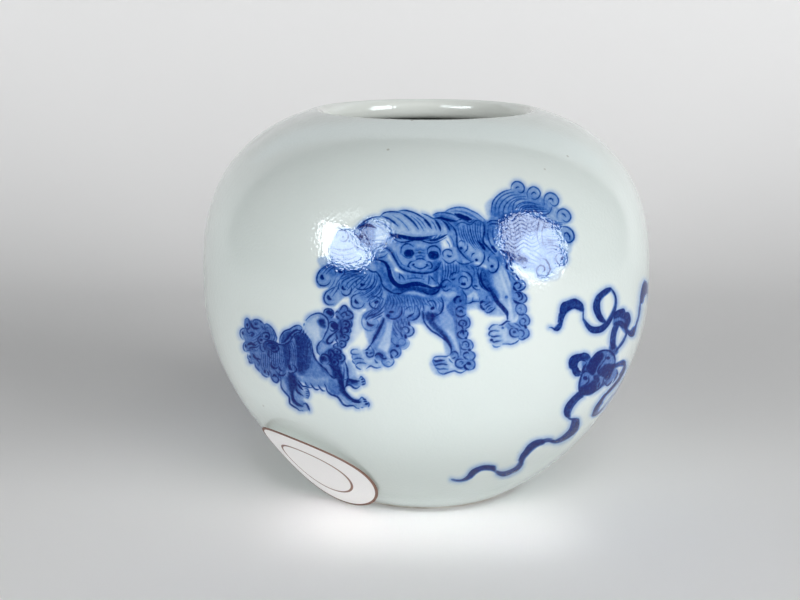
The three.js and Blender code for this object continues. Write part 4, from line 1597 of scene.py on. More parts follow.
@dataclass(frozen=True)
class SmallLion(Motif):
    """The small lion: it looks back up over its shoulder, paws out."""

    tail: Marks = (
        pool(0.48, 1.6, 245,320, 247,318, 250,320.5, 253,320, 257,319.5, 261,321, 264,324, 268,325,
            273,330, 276,337, 276.5,342, 281,345, 290,343, 290,360, 285,373, 279,382, 274,381, 269,376,
            264,375, 260,372, 257,369, 254,364, 250,363, 250,357, 249.5,353, 246,350, 244.5,345, 245,341,
            243,337, 242,332, 243.5,328.5, 245,328, 244.5,324),
        line(1.4, 0.78, 245,321, 244.8,326, 246.5,329, 249,328.5, 250,325, 249.3,320.5, 247,318.3,
            244.8,320),
        line(2.2, 0.98, 247,323.5, 247.3,326.5),
        line(1.4, 0.73, 248,330, 244.5,328.3, 241.3,329.5, 240,333, 241,337, 243,339.5),
        line(2, 0.88, 242,331.5, 243.3,334.5),
        line(1.4, 0.73, 248,327, 247,331, 250,334),
        line(1.5, 0.81, 253,322, 254,320, 257.5,319.8, 261,321.5, 264,324.5),
        line(2.2, 0.98, 250.8,321, 251.5,325, 253.5,328, 257,328.5, 259,328),
        line(1.2, 0.63, 254,325, 255,322.3, 257.3,322.5, 257.7,324.8),
        dot(0.94, 2.2, 255.8,324),
        line(1.6, 0.78, 264,325, 267,324, 271,327, 274,331, 276,336, 276.5,340),
        line(1.4, 0.73, 264.5,326, 265,328.3, 267.5,327.5),
        line(1.3, 0.63, 261,325, 264,329, 269,331),
        line(2, 0.88, 262.5,337, 262.5,334, 264.5,332.5, 267.5,332.8, 269.5,335, 269,338, 266.5,339.5,
            263.5,338.8),
        dot(1, 3, 266.5,336.5),
        line(1.7, 0.88, 261.5,336, 258.5,337.5, 258,340.5, 259.5,343, 262,343.5),
        dot(1, 2.8, 261,340),
        line(1.5, 0.84, 260.5,344, 260.3,348, 262,351, 264.5,351.5),
        line(1.8, 0.88, 263,346, 264.5,348, 265,350.5),
        pool(0.46, 2.2, 264,343, 268,341, 275,343, 279,347, 278,351, 273,353, 266,351, 264,348),
        line(2, 0.88, 266,346, 267.5,343.7, 271,342.8, 275,343.8, 278,346.7, 278.3,350, 275.5,352,
            272.5,351.5, 270,349),
        line(1.6, 0.85, 271.3,348.5, 272,346, 274.5,346, 275.7,348, 274,350),
        dot(1, 2.8, 273.5,348),
        line(1.8, 0.85, 264,346, 264,343, 267,341, 271,341, 275,342.3, 279,344.3, 284,344.7, 288,343.5,
            292,341),
        line(1.7, 0.88, 268.5,351, 268,354, 269.5,357, 272,358.3),
        line(1.6, 0.84, 271,351.5, 272,353.5, 270.5,355),
        line(2.2, 0.98, 272,360.5, 271,364, 272.5,367, 275.5,368.3, 278.5,367),
        line(1.5, 0.78, 274,361, 273.5,364, 275.5,366),
        line(1.6, 0.84, 248,334, 251,332.5, 254,334, 252,336, 249,335.5),
        dot(1, 2.4, 252.5,334.7),
        line(2.8, 0.98, 247.5,345, 251,343.5, 255.5,345.5),
        line(2.2, 0.98, 249,348.5, 252,347.5, 256,347.5),
        line(1.4, 0.63, 246,351, 250,350, 255,349.5),
        line(1.4, 0.73, 246,341.5, 244,343.5, 243.3,347, 244.5,350.5, 247,352),
        line(1.9, 0.88, 245.3,344.5, 246,347.5),
        line(1.4, 0.73, 247.8,354, 248,358, 250,360.5),
        line(2, 0.88, 249.3,355.5, 250.5,358),
        line(1.6, 0.84, 248.5,360, 250,362.5, 252.5,363.3),
        line(1.4, 0.73, 255,363, 255.5,366.5, 257.5,369, 260,372),
        line(1.3, 0.68, 258,363, 259,366),
        line(2.2, 0.98, 252.5,353.5, 255.5,358, 260,359.3),
        line(1.4, 0.73, 256,360, 258.5,361.5, 260,365),
        Hairs(((262,353),(261,362),(263,371)), ((283,348),(284,358),(281,368)), 12, 0.9, 0.74),
        Hairs(((263,328),(259,334),(251,339)), ((262,345),(257,350),(250,352)), 6, 0.9, 0.6),
        Hairs(((270,329),(272,336),(271,342)), ((275,333),(277,338),(275,343)), 3, 0.9, 0.6),
        line(1.6, 0.76, 261,372.5, 263,375, 266,376.7, 268.7,377),
        line(2.2, 0.98, 264.5,370, 265,373),
        line(1.6, 0.84, 267,371, 268.5,373.5, 268.5,376),
        line(1.7, 0.84, 271,374, 271.5,378, 274,381.5, 277,382.5, 278.5,380, 277,377, 274.5,375),
        line(2.2, 0.98, 272.5,376.5, 274.5,375, 276.5,377),
        line(1.5, 0.73, 269,370, 271,374),
        line(1.4, 0.68, 275,370, 278,374, 279,378),
    )
    body: Marks = (
        pool(0.35, 1.6, 280,343, 280,337, 284,332, 290,329, 296,325.5, 301,327, 305,333, 310,341, 312,350,
            316,360, 324,368, 331,377, 334,372, 340,370, 342,385, 341,394, 332,394, 326,388, 310,386,
            300,382, 296,390, 291,392, 286,385, 282,375, 285,362, 283,350),
        pool(0.2, 3, 283,340, 296,330, 312,345, 315,362, 300,372, 284,366),
        pool(0.42, 2.4, 296,338, 305,342, 307,358, 305,373, 299,374, 296,360),
        line(1.6, 0.88, 279.5,343, 280,338, 281.5,334.5, 284,331.5, 287,330, 290,329, 293,327, 296.5,325.5,
            299.5,325.5, 302,327.5),
        line(2.4, 0.98, 281,343, 283.5,342, 287,339, 290,335, 293,332, 297,330, 301,331),
        line(1.8, 0.88, 280,345, 285,344.3, 289,342, 292,338, 295,334, 299,332.5, 302,334),
        pool(0.49, 1.2, 281,340, 283,334, 287,331.5, 291,331, 289,336, 285,341, 281,342),
        Hairs(((288,340),(292,336),(297,344),(297,373)), ((302,331),(308,337),(312,346),(309,368)), 11, 1,
            0.92),
        Hairs(((284,346),(286,355),(285,368)), ((292,340),(295,350),(294,372)), 6, 0.9, 0.78),
        line(1.6, 0.88, 300,337, 303,333, 304,330),
        line(1.6, 0.88, 302,339.5, 305,336, 306,333),
        line(1.6, 0.88, 304,342, 307,339, 308,336),
        line(1.6, 0.88, 306,345, 309,342, 309.8,339),
        line(1.6, 0.88, 308,348, 311,345, 311.5,342),
        line(1.6, 0.88, 298,335, 301,331, 302,328.5),
        line(1.9, 0.85, 311.5,343, 312.3,348, 313,353, 315,358, 318,362.5, 322,366.3, 326,370, 329,374,
            332,378),
        pool(0.14, 1.8, 306,322, 312,316, 320,315, 326,319, 326,330, 321,340, 317,348, 314,348, 309,336,
            304,328),
        line(1.8, 0.85, 306,320.3, 308,318, 311,315.5, 315,313.8, 319,313.2, 322,314, 325,316, 327,318.5,
            328.5,322, 328.5,326, 327.5,330, 325.5,333.5, 324.5,336, 323,339, 321.5,340.5),
        line(1.6, 0.52, 304.5,323, 303.5,326),
        pool(0.75, 2, 317.5,321, 320,319.3, 324,319, 325,322, 325.8,327, 323,327.7, 319.5,325),
        line(2.4, 0.96, 319.5,321, 323.5,320.5),
        pool(0.41, 1.2, 323.5,313, 325,309.5, 329,308.5, 333,311, 334,315, 332,318, 328,317),
        bold(5, 0.96, 328.5,312, 331,313.5),
        line(1.7, 0.88, 323.5,313, 324.5,310, 327.5,308.8, 331,309.3, 333.5,312, 333.5,315.5, 331.5,318),
        pool(0.33, 1.6, 327,317, 334,318, 340,319, 342,330, 338,338, 330,344, 322,342, 325,334, 329,328,
            329,322),
        bold(5.4, 0.97, 333,325, 335.5,327.5),
        line(1.7, 0.88, 328.5,327, 329,323.5, 331.5,321.8, 335,322.5, 337.5,325.5, 338.5,329),
        line(1.5, 0.84, 329.5,329, 332,331, 335,330.5),
        line(2.2, 0.95, 338.5,329.5, 334.5,333, 331,335.5, 328.5,338, 327,340.5, 327.5,342.8, 330,343.4,
            332.5,342, 333.2,339.5),
        pool(0.33, 1.2, 317,345, 322,340, 330,344, 336,346, 330,350, 322,355, 318,352),
        line(1.8, 0.88, 321.5,340.5, 318.5,344, 317,348, 317.5,352, 320,355.3),
        line(1.5, 0.78, 334,338, 337,342, 338,347),
        line(1.8, 0.88, 336,335, 337,338, 336.5,340),
        line(1.6, 0.78, 341,334, 340,338),
        pool(0.22, 2, 300,362, 314,362, 324,369, 328,376, 312,378, 301,374),
    )
    mane: Marks = (
        pool(0.48, 1.3, 336,312, 342,306, 347,306, 353,313, 353,320, 352,327, 350.5,333, 349,339,
            345.5,346, 342,350, 345,356, 345,361, 338,367, 331,368, 330,362, 322,362, 320,357, 327,350,
            335,346, 340,338, 341,330, 340,322, 336,317),
        pool(0.45, 1.4, 334,330, 338,322, 343,319, 344,330, 341,340, 337,340),
        pool(0.49, 1.3, 328,350, 334,350, 340,354, 338,360, 331,366, 329,360),
        line(1.5, 0.88, 338,313, 341,308.5, 342.5,306, 345,305.5, 347,307.5, 347.5,310, 346,312),
        line(1.6, 0.78, 335,313.5, 337,311.5, 339,312.5),
        line(2, 0.73, 336,316, 338.5,319),
        line(1.7, 0.84, 345,312.5, 347,311, 350,311.5, 352.5,314, 353,317, 350.5,319, 347,319.4),
        line(2, 0.88, 340.5,315, 343.5,312.5, 346,312.8, 347,315.2, 349.3,315.7),
        line(1.5, 0.78, 341,315, 343,317.3, 344.5,316),
        line(2.4, 0.98, 343,322, 345,320.7, 348.5,322, 349.5,325, 348,327, 345,326.5),
        line(1.5, 0.78, 350,320, 352,323, 351.5,326.5, 349.5,328),
        dot(1, 2.6, 346,324.5),
        line(2.2, 0.98, 342.5,329.5, 345,327.7, 348,329.5, 347,332, 344,332.2),
        line(1.4, 0.78, 350,328.5, 351,331.3, 349.5,333),
        line(2.2, 0.98, 342,327, 341,331, 342.5,335),
        line(1.8, 0.88, 342,338.5, 342.5,335.5, 345,334.5, 348,336, 349,338, 347.5,340.3, 345,340.8),
        dot(1, 2.4, 344.2,337.3),
        line(1.7, 0.85, 339,343, 340.5,341, 343,341, 345.7,342.5, 345.2,346, 342,347.6, 339.5,346),
        dot(1, 2, 341.5,343.7),
        line(1.6, 0.84, 334.5,349, 333.5,346, 335,344, 338,343.5),
        line(1.9, 0.88, 333.5,350, 336,348.5, 339.5,350, 341,352.5, 338.5,354.7, 335,354),
        dot(0.99, 2, 337.3,351.5),
        line(1.8, 0.88, 328.5,353.5, 329,350, 331.5,350.5, 334,353, 334,356, 331,358.7),
        line(2, 0.88, 330.5,353.5, 331,356.5),
        line(2, 0.88, 320.5,358, 322,354.7, 325.5,354.5, 329,357, 329.7,361, 327,364.3),
        line(1.5, 0.84, 322.3,361.3, 321.5,358, 323.5,356.8, 325.7,358, 325,360.3),
        dot(1, 2.4, 323.5,358.7),
        line(1.6, 0.84, 340,354.5, 343.5,355, 345,358, 343.5,361, 340.5,361.6),
        line(2.4, 0.98, 338,355.3, 340.5,356, 341,358.5, 338.5,359),
        line(1.8, 0.88, 331.5,362.5, 332,359.5, 334.5,358.5, 337.5,360, 338.5,363, 336.5,366, 333,367),
        dot(1, 3, 334.5,362),
        line(1.5, 0.78, 328,364, 331,366, 334,369),
        line(1.5, 0.73, 320,356, 320.5,361, 323,364),
    )
    legs: Marks = (
        pool(0.18, 2, 320,314, 328,318, 329,328, 322,338, 319,330),
        pool(0.42, 2, 320,357, 333,359, 338,369, 334,378, 326,373, 320,365),
        pool(0.36, 2, 286,378, 298,378, 301,392, 304,404, 296,405, 289,394),
        pool(0.22, 1.8, 348,360, 354,368, 358,380, 350,384, 346,374),
        pool(0.82, 2, 289,373, 295,374, 296.5,380, 297,385, 295,388, 293.5,392, 293,397, 295.5,402,
            299,405, 302,406.5, 296,404.5, 292,400, 290.5,392, 289.5,383, 288,377),
        pool(0.25, 1.6, 282,377, 290,378, 291,392, 289,396, 284,390, 281,384),
        line(1.9, 0.88, 280.5,376, 281,381, 281,386, 283,390, 286.5,394, 289,397, 289.5,401, 290,403.5,
            293,406, 297,408.5, 299.5,410.5, 303,410.8),
        line(2.8, 0.97, 292,391, 292.5,396, 293.5,400, 296,403, 299,405, 303,406.2),
        line(2, 0.84, 304,403, 306.5,404, 308,406.5, 309,409, 309.8,411),
        line(1.5, 0.58, 303,404.5, 306,402.5),
        pool(0.23, 1.4, 290,400, 297,405, 305,403, 309,410, 303,411, 297,408),
        line(2.4, 0.98, 298,383.5, 300,387, 303,390),
        line(2, 0.88, 295.5,385, 297,391, 300,393.8, 303,395.8),
        pool(0.25, 1.2, 297,386, 302,391, 308,389, 309,396, 306,399, 301,395, 297,391),
        line(1.5, 0.76, 303.5,389, 307,388.7, 308.7,391.5, 309.2,395, 308,398.7),
        line(1.3, 0.73, 306,391.5, 309,391.8),
        line(1.3, 0.73, 306,393.5, 309.2,393.8),
        line(1.3, 0.73, 306,395.5, 309,396),
        line(1.3, 0.63, 306,397.5, 308.5,398),
        line(1.9, 0.88, 298,380, 300,383, 302.5,386, 306,386.7, 309,387.5, 311.7,387.7),
        line(1.5, 0.78, 305,382, 306.5,385, 309,386.3),
        line(1.7, 0.88, 310.5,383.5, 312.5,386.5, 315,389, 317.5,389.6, 319.3,389),
        line(1.6, 0.84, 318,385, 320,388, 322.5,390.5, 325,391),
        line(2, 0.88, 324.5,384, 326,387, 327,390.5, 329,393, 332,395, 335.5,396, 338.5,398, 341,401.5,
            343.5,404.5, 347,406, 351,405.6, 354,406, 356.5,408, 359,408.3),
        line(1.4, 0.63, 361,407.6, 363.3,407.6),
        line(2, 0.88, 278.5,366.5, 280,369.5, 282,371),
        line(1.8, 0.85, 280,371.5, 279,374, 281,375.6, 284,375, 286,373),
        line(2.8, 0.98, 289,364.5, 289.7,368, 291.8,370),
        line(1.6, 0.81, 288,372.5, 291,373.3, 295,372, 296.3,369, 294.5,366, 292,364.5),
        pool(0.8, 2.2, 332,367, 340,366, 342,373, 343,380, 345,388, 347,393, 352,398, 358,400, 360,400.5,
            356,402, 350,400.5, 345,397.5, 341,393, 339,386, 336.5,379, 333,374),
        line(2.8, 1, 339,368, 341,374, 342,381, 343,388, 345,392.5, 349,397, 353,399.7, 358.5,400.3),
        line(2, 0.85, 329,374, 333,377.5, 337,378),
        pool(0.29, 1.8, 330,380, 338,384, 341,393, 345,398, 352,402, 356,405, 348,405, 342,400, 334,395,
            328,389),
        line(2.4, 0.98, 352,401.3, 357,402, 361,402),
        line(1.5, 0.73, 359,400, 360.5,398.3, 362,397.3, 364,398.7, 366.5,400),
        line(1.8, 0.88, 363,399, 366,399.7),
        line(1.8, 0.88, 363.5,401.7, 367,401.3),
        line(2.4, 0.98, 365,404.2, 368.3,403.5),
        line(1.5, 0.76, 368.3,402, 369.2,404.5, 368.5,407),
        pool(0.2, 1.3, 358,400, 363,398, 368,402, 369,406, 362,407.5, 355,406),
        pool(0.28, 1.3, 340,362, 346,364, 348,375, 349,380, 358,382, 360,386, 353,387, 346,385, 344,390,
            342,378),
        line(1.9, 0.88, 345,361.5, 346.5,366, 347.5,370, 347.8,375, 349,379),
        line(3.2, 0.96, 348,378.5, 352,380.7, 355,381.3, 359,381),
        line(2.2, 0.98, 347.3,378, 347,384, 345.5,387),
        pool(0.45, 1.4, 347,379, 357,382, 357,385, 350,384.5, 346,386),
        line(1.8, 0.88, 344.7,389.5, 346,386, 349,384.8, 351.5,386, 354,388, 357,388.2, 359.5,386.5),
        line(1.5, 0.76, 359.5,378.5, 361,376.5, 363,378, 364.8,380.5, 365.5,384),
        line(1.6, 0.88, 361,379.7, 364,378.7),
        line(1.7, 0.88, 361.5,382.2, 365,381.2),
        line(1.7, 0.88, 362,384.7, 365.3,383.8),
        pool(0.23, 1.2, 358,380, 362,377, 365,383, 361,386),
        line(1.4, 0.73, 344,365, 344,374, 343,384),
        line(1.3, 0.63, 347,379, 344,380),
    )


@dataclass(frozen=True)
class BrocadeBall(Motif):
    """The brocade ball with its bow and the ribbons that fly up from it."""

    ribbons: Marks = (
        pool(0.81, 1.3, 557.2,325, 559.7,322, 560.2,316, 560.7,308, 562.7,303.5, 566.2,301.8, 570.2,300,
            574.2,299, 578.2,300.5, 582.2,304, 583.7,308, 583.2,311.5, 580.2,310.8, 577.2,309.6,
            574.2,308.6, 570.2,310.3, 566.8,313, 563.7,317, 562.2,324, 560.2,329, 556.7,330.5, 553.7,329),
        line(1.6, 0.95, 549.2,327.5, 552.2,327.8, 555.2,330, 558.2,330, 560.7,327),
        line(1.6, 0.95, 557.2,325.5, 559.9,322, 560.2,316, 560.7,308, 562.7,303.5, 566.2,301.8, 570.2,300),
        line(1.8, 0.95, 570.2,300, 574.2,299.3, 578.2,300.8, 582.2,304.5, 583.5,309),
        line(1.5, 0.95, 561.2,327, 563.2,319, 566.2,312, 570.2,309, 574.2,307.7, 577.2,308.7, 581.2,311),
        bold(1.4, 0.87, 583.2,309, 583.2,315, 583.2,320),
        pool(0.83, 1.3, 583.2,318, 586.2,322, 590.2,326, 595.2,327.3, 600.2,326.3, 604.2,323.3, 608,318.5,
            611.6,312, 614,306, 615,300, 614,295, 612,291.5, 613.2,290.5, 615.7,296, 616.7,302, 615.7,309,
            613.2,315.5, 610.2,322, 606.2,327.5, 602.2,331, 597.2,332.7, 592.2,332.4, 588.2,329.5,
            585.2,325),
        line(1.5, 0.95, 583.2,318.5, 586.7,322.5, 590.2,326, 595.2,327.5, 600.2,326.5, 604.2,323.5),
        line(1.7, 0.95, 583.5,321, 587.2,328, 591.7,332, 597.2,332.5, 602.2,331, 606.2,327.5, 610.2,322,
            613.2,315.5, 615.7,309, 616.5,302),
        line(1.5, 0.95, 611.2,289, 614.2,293, 615.7,297, 616.5,302),
        pool(0.85, 1.3, 596.2,296.5, 600.7,292.5, 606.2,289, 610.2,288, 611.7,289.5, 608.6,293, 604.8,296,
            601.8,299, 599.2,304, 599.9,311, 601.9,316, 605.7,321.3, 603.2,322.8, 600.2,321.3, 597.5,318,
            595.2,313, 593.6,308, 594.2,302),
        line(1.6, 0.95, 596.2,296.5, 601.2,292.3, 606.2,289, 609.7,288.2, 612.2,289.3),
        line(1.6, 0.95, 600.7,298, 599.4,304, 599.9,311, 601.9,316, 605.5,321.3),
        line(1.5, 0.95, 596.2,297, 594.2,302, 593.8,308, 595.2,313, 597.7,318, 600.7,321.3, 605.2,322.5),
        line(2.4, 0.97, 598.2,315, 600.7,318.5, 603.7,321),
        pool(0.87, 1.3, 613.2,314.5, 616.7,311.5, 620.2,310, 623.7,309.3, 625.2,312.3, 628.2,313,
            629.7,316.5, 629.9,321, 628.2,326.5, 626.5,330, 624.5,326.5, 625,321, 622.7,318.5, 619.2,317.5,
            616.2,318.3, 613.7,319),
        line(1.6, 0.95, 613.2,314.5, 616.7,311.5, 620.2,310, 623.7,309.3, 625.2,312.3),
        line(1.5, 0.95, 625.2,312.5, 628.2,313, 629.7,316.5, 629.9,321, 628.2,326.5),
        line(1.8, 0.95, 625,321, 624.7,326, 626.2,330),
        bold(5, 0.82, 616.7,326, 614.5,332, 613.4,339, 613.2,347),
        bold(5.4, 0.82, 616.2,324.5, 620.2,323.2, 623.7,326),
        bold(2, 0.76, 624.7,327, 626.2,332, 625,337, 621.2,343.5, 616.7,350),
        line(1.5, 0.95, 615.2,323, 612.7,329, 611.2,336, 610.7,343, 612.2,350),
        line(1.5, 0.95, 624.2,323, 627,329, 626.2,335, 623.2,342, 618.7,348, 614.2,353.5),
        line(1.7, 0.78, 640.5,310, 640.6,301, 641.4,293, 643.2,285, 644.7,281),
        line(1.6, 0.75, 644.7,280.5, 646.7,284, 647.2,290, 648.5,295, 648.6,300),
        pool(0.9, 1.3, 640.5,302, 641,295, 642.5,288, 644.7,281, 647.4,286, 647,292, 644.5,297, 642.5,303),
        bold(1.8, 0.8, 641,299, 639.8,307, 638.7,316, 636.4,324, 634,331),
        pool(0.81, 1.3, 626.7,329, 630.2,330.5, 632.7,327.5, 636.2,326, 635.2,331, 633.2,335.8, 630.2,336,
            627.5,333),
        line(1.6, 0.95, 626.7,329.5, 628.2,333.5, 630.7,336, 633.2,335, 635.2,330.5),
        pool(0.5, 1.3, 614,318, 620,316, 626,320, 628,327, 625,333, 621,328, 617,324, 613,325),
        pool(0.6, 1.3, 611,343, 616,345, 618,352, 613,356, 609,350),
        bold(2, 0.8, 558.5,322, 559.5,314),
    )
    ball: Marks = (
        pool(0.45, 1, 590.6,359.5, 594.6,355, 599.6,351.5, 605.6,350.2, 610.6,351.5, 614.1,355.5,
            615.1,361.5, 613.6,368.5, 611.6,374.5, 608.6,380.5, 605.6,385, 600.6,387.8, 595.6,391.5,
            590.6,394, 585.6,395, 580.6,394.5, 579.1,390.5, 579.1,384.5, 580.6,378.5, 582.6,372.5,
            585.6,366.5),
        line(1.8, 0.95, 590.6,359.5, 594.6,355, 599.6,351.5, 605.6,350.2, 610.6,351.5, 614.1,355.5,
            615.1,361.5, 613.6,367.5),
        line(2, 0.95, 585.6,366.5, 582.6,372.5, 580.6,378.5, 579.3,384.5, 579.3,390.5, 581.1,394.5),
        line(1.6, 0.95, 590,393.8, 595,391.3, 600,387.6, 604.5,383),
        pool(0.93, 1.3, 597.6,352.5, 602.6,352.5, 604.1,356.5, 600.6,362.5, 597.1,367.5, 595.6,372.5,
            592.6,375.5, 588.6,372.5, 586.6,368.5, 589.6,361.5, 593.6,356.5),
        dot(1, 3.4, 608.1,358),
        line(1.4, 0.8, 606.1,354.5, 605.1,359.5, 601.6,363.5),
        line(2, 0.95, 602.6,363.5, 598.6,368.5, 597.6,372.5),
        pool(0.88, 1.3, 600.6,368.5, 605.6,364, 612.6,364, 613.6,368.5, 609.6,375.5, 605.6,379.5,
            602.6,376.5, 598.6,375.5, 597.6,371.5),
        dot(1, 4.2, 585.3,378.2),
        line(1.8, 0.95, 582.1,374.5, 584.6,371.5, 588.6,371.5),
        line(1.6, 0.85, 588.6,375.5, 588.6,381.5, 584.6,385),
        pool(0.93, 1.3, 582.6,385.5, 588.6,383.5, 592.6,380.5, 596.6,382.5, 596.6,388.5, 592.6,393.5,
            586.6,395.5, 580.6,394.5, 579.6,389.5),
        pool(0.83, 1.3, 593.6,375.5, 598.6,375.5, 599.6,380.5, 596.6,383.5, 593.6,380.5),
        line(2, 0.95, 599.6,382.5, 598.1,387.5),
        line(1.5, 0.85, 603.6,378.5, 602.6,383.5, 598.6,389.5),
        pool(0.88, 1.3, 569.6,367.5, 569.1,362.5, 570.6,358.5, 573.6,356, 577.6,354.5, 581.6,354.5,
            583.6,358.5, 579.6,360, 577.6,363.5, 577.6,368.5, 579.6,371.5, 581.1,374.5, 578.6,376,
            575.1,374.5, 572.6,370.5),
        pool(0.68, 1.3, 579.6,354.5, 585.6,353.5, 589.3,355.5, 589.6,359, 586.6,360.5, 581.6,359.5),
        line(1.7, 0.95, 569.6,367.5, 569.1,362.5, 570.6,358.5, 573.6,356, 577.6,354.8, 580.6,354.5,
            584.6,353.3, 588.6,355, 590.1,358),
        line(1.7, 0.95, 569.6,367.5, 572.6,368.5, 573.1,372, 575.6,375.5, 579.1,376),
        line(1.6, 0.95, 577.1,365.5, 577.9,362, 580.6,360.2, 584.1,360.5, 586.6,362.5),
        line(2.6, 0.97, 586.1,363.5, 583.6,368.5, 581.6,373.5),
        line(2.2, 0.97, 577.1,366.5, 578.6,370.5, 581.6,372.5),
        pool(0.15, 0.8, 578.6,363.5, 582.6,361.5, 585.1,364.5, 582.6,368.5, 579.6,367.5),
        pool(0.83, 1.3, 612.6,364.5, 616.6,363, 621.6,360.5, 624.3,360.2, 625.4,363.5, 623.6,365.5,
            619.6,366.3, 615.6,368, 612.6,370.5),
        line(2.8, 0.97, 625.1,362.5, 624.9,367.5, 622.6,373, 619.1,379, 614.6,385, 609.6,390.5, 605.6,395,
            602.6,398.5),
        pool(0.5, 1.3, 613.6,369.5, 617.3,370.5, 616.6,376.5, 612,380, 608,384, 606,384.5, 603.6,382,
            606.6,380.5, 609.6,376.5),
        line(1.6, 0.95, 604,382.5, 607,385.5, 610,383.5, 612.5,380),
        line(1.5, 0.85, 616.6,369.5, 617.4,373.5, 615.6,378, 612.6,383),
        line(1.6, 0.91, 612.6,370.5, 609.6,376.5, 606.6,380.5),
        line(1.3, 0.52, 622.6,380.5, 618.6,388, 612.6,395.5, 607.1,403, 602.6,408),
        line(3, 0.97, 610.6,389.5, 605.6,394.5, 601.6,400, 597.6,405.5, 594.6,410.5, 592.6,415),
        pool(0.73, 1.3, 601.6,400.5, 596.6,406.5, 593.6,411.5, 591.9,415.8, 594.6,416.3, 598.1,412.5,
            599.6,407.5, 602.6,403),
        line(1.6, 0.85, 592.6,416, 596.6,414.5, 601.1,410.5, 606.6,404),
        bold(2, 0.8, 624.5,362, 623.5,368, 620,375),
        pool(0.4, 1.3, 583,358, 590,356, 591,364, 585,372, 582,366),
    )


@dataclass(frozen=True)
class TrailingRibbon(Motif):
    """The long ribbon that trails down from the ball."""

    low_ribbon: Marks = (
        pool(0.87, 1.3, 578.8,391.8, 574.3,395.8, 570.3,400.3, 566.8,404.8, 564.8,409.8, 564.6,413.8,
            566.8,417.1, 570.3,417.3, 570.3,411.8, 571.8,407.8, 575.3,402.8, 579.3,398.8, 583.3,396.3),
        line(1.7, 0.95, 578.8,392.3, 574.3,395.8, 570.3,400.3, 566.8,404.8, 564.8,409.8, 565,414.3,
            567.3,417.3, 571.3,418.8),
        line(1.4, 0.92, 570.6,412.8, 572.3,407.8, 575.8,402.8, 579.3,399.1, 583.3,396.8),
        line(2, 0.95, 566.8,416.8, 570.3,419, 574.3,419, 578.3,419.1),
        pool(0.87, 1.3, 572.3,418.8, 578.6,418.8, 579,423.8, 577.3,429.3, 573.8,433.3, 569.3,436.8,
            564.3,439.8, 559.3,442.1, 554.3,443.1, 550.3,441.8, 556.3,439.8, 561.3,437.3, 566.3,433.3,
            569.8,428.8, 571.6,423.8),
        line(1.5, 0.95, 578.6,419.3, 578.9,423.8, 577.3,429.3, 573.8,433.3, 569.3,436.8, 564.3,439.8,
            559.3,442.1, 554.3,442.8),
        line(1.4, 0.95, 572.3,419.8, 571.3,424.8, 569.8,429.3, 566.3,433.3, 561.3,437.5, 556.3,440.1),
        bold(3.2, 0.84, 553.3,441.1, 548.3,440.6, 543.3,441.5),
        line(1.4, 0.95, 552.3,438.8, 547.3,439, 542.3,439.8),
        pool(0.93, 1.3, 543.3,439.5, 537.3,440.3, 531.3,443.3, 527.3,446.8, 524.3,451.3, 520.8,455.8,
            518.8,460.3, 520.3,462.8, 522.8,462.3, 525.3,458.3, 528.8,454.3, 532.3,450.8, 537.3,446.8,
            544.3,443.3),
        line(1.6, 0.92, 541.3,439.5, 536.3,440.6, 531.3,443.3, 527.3,446.8, 524.3,451.3, 520.8,455.8,
            519,460.3),
        pool(0.83, 1.3, 519.3,461.8, 523.3,462.8, 521.3,466.8, 516.8,470.5, 511.3,473.1, 506.3,475.3,
            501.3,475.8, 497.8,474.5, 495.3,472.3, 497.3,470.8, 501.3,472.1, 506.3,471.8, 511.3,469.8,
            515.8,466.8),
        line(1.5, 0.95, 522.8,461.8, 520.8,466.8, 516.8,470.5, 511.3,473.1, 506.3,475.2, 501.3,475.7,
            497.3,474.1),
        line(1.3, 0.91, 519.3,464.8, 515.3,467.5, 511.3,469.8, 505.3,471.8, 499.3,472.1, 496.3,470.6),
        pool(0.93, 1.3, 495.3,466.3, 489.3,465.3, 483.3,465.8, 478.3,467.3, 473.3,469.5, 469.8,472.3,
            467.3,476.3, 463.3,479.1, 458.3,480, 452.3,479.2, 452.3,480.2, 457.3,481.4, 462.3,481.3,
            467.3,480.1, 471.8,477.8, 475.8,474.1, 480.3,471.1, 485.3,470.1, 491.3,470.6, 495.3,471.5),
        line(1.6, 0.95, 494.8,466.8, 489.3,465.7, 483.3,466.1, 478.3,467.6, 473.3,469.8, 470,472.8,
            467.3,476.5, 463.3,479.3, 458.3,480.3, 451.3,479.7),
    )


@dataclass(frozen=True)
class Patch:
    """A stretch of the pot's outside that carries painting."""

    name: str
    motifs: tuple[Motif, ...]  # the figures that reach into it
    azimuth: tuple[float, float]  # degrees round from the front, towards +X
    height: tuple[float, float]  # millimetres above the table, on the outside
    lift: float = 0.0  # degrees before its far edge over which the brush is lifted


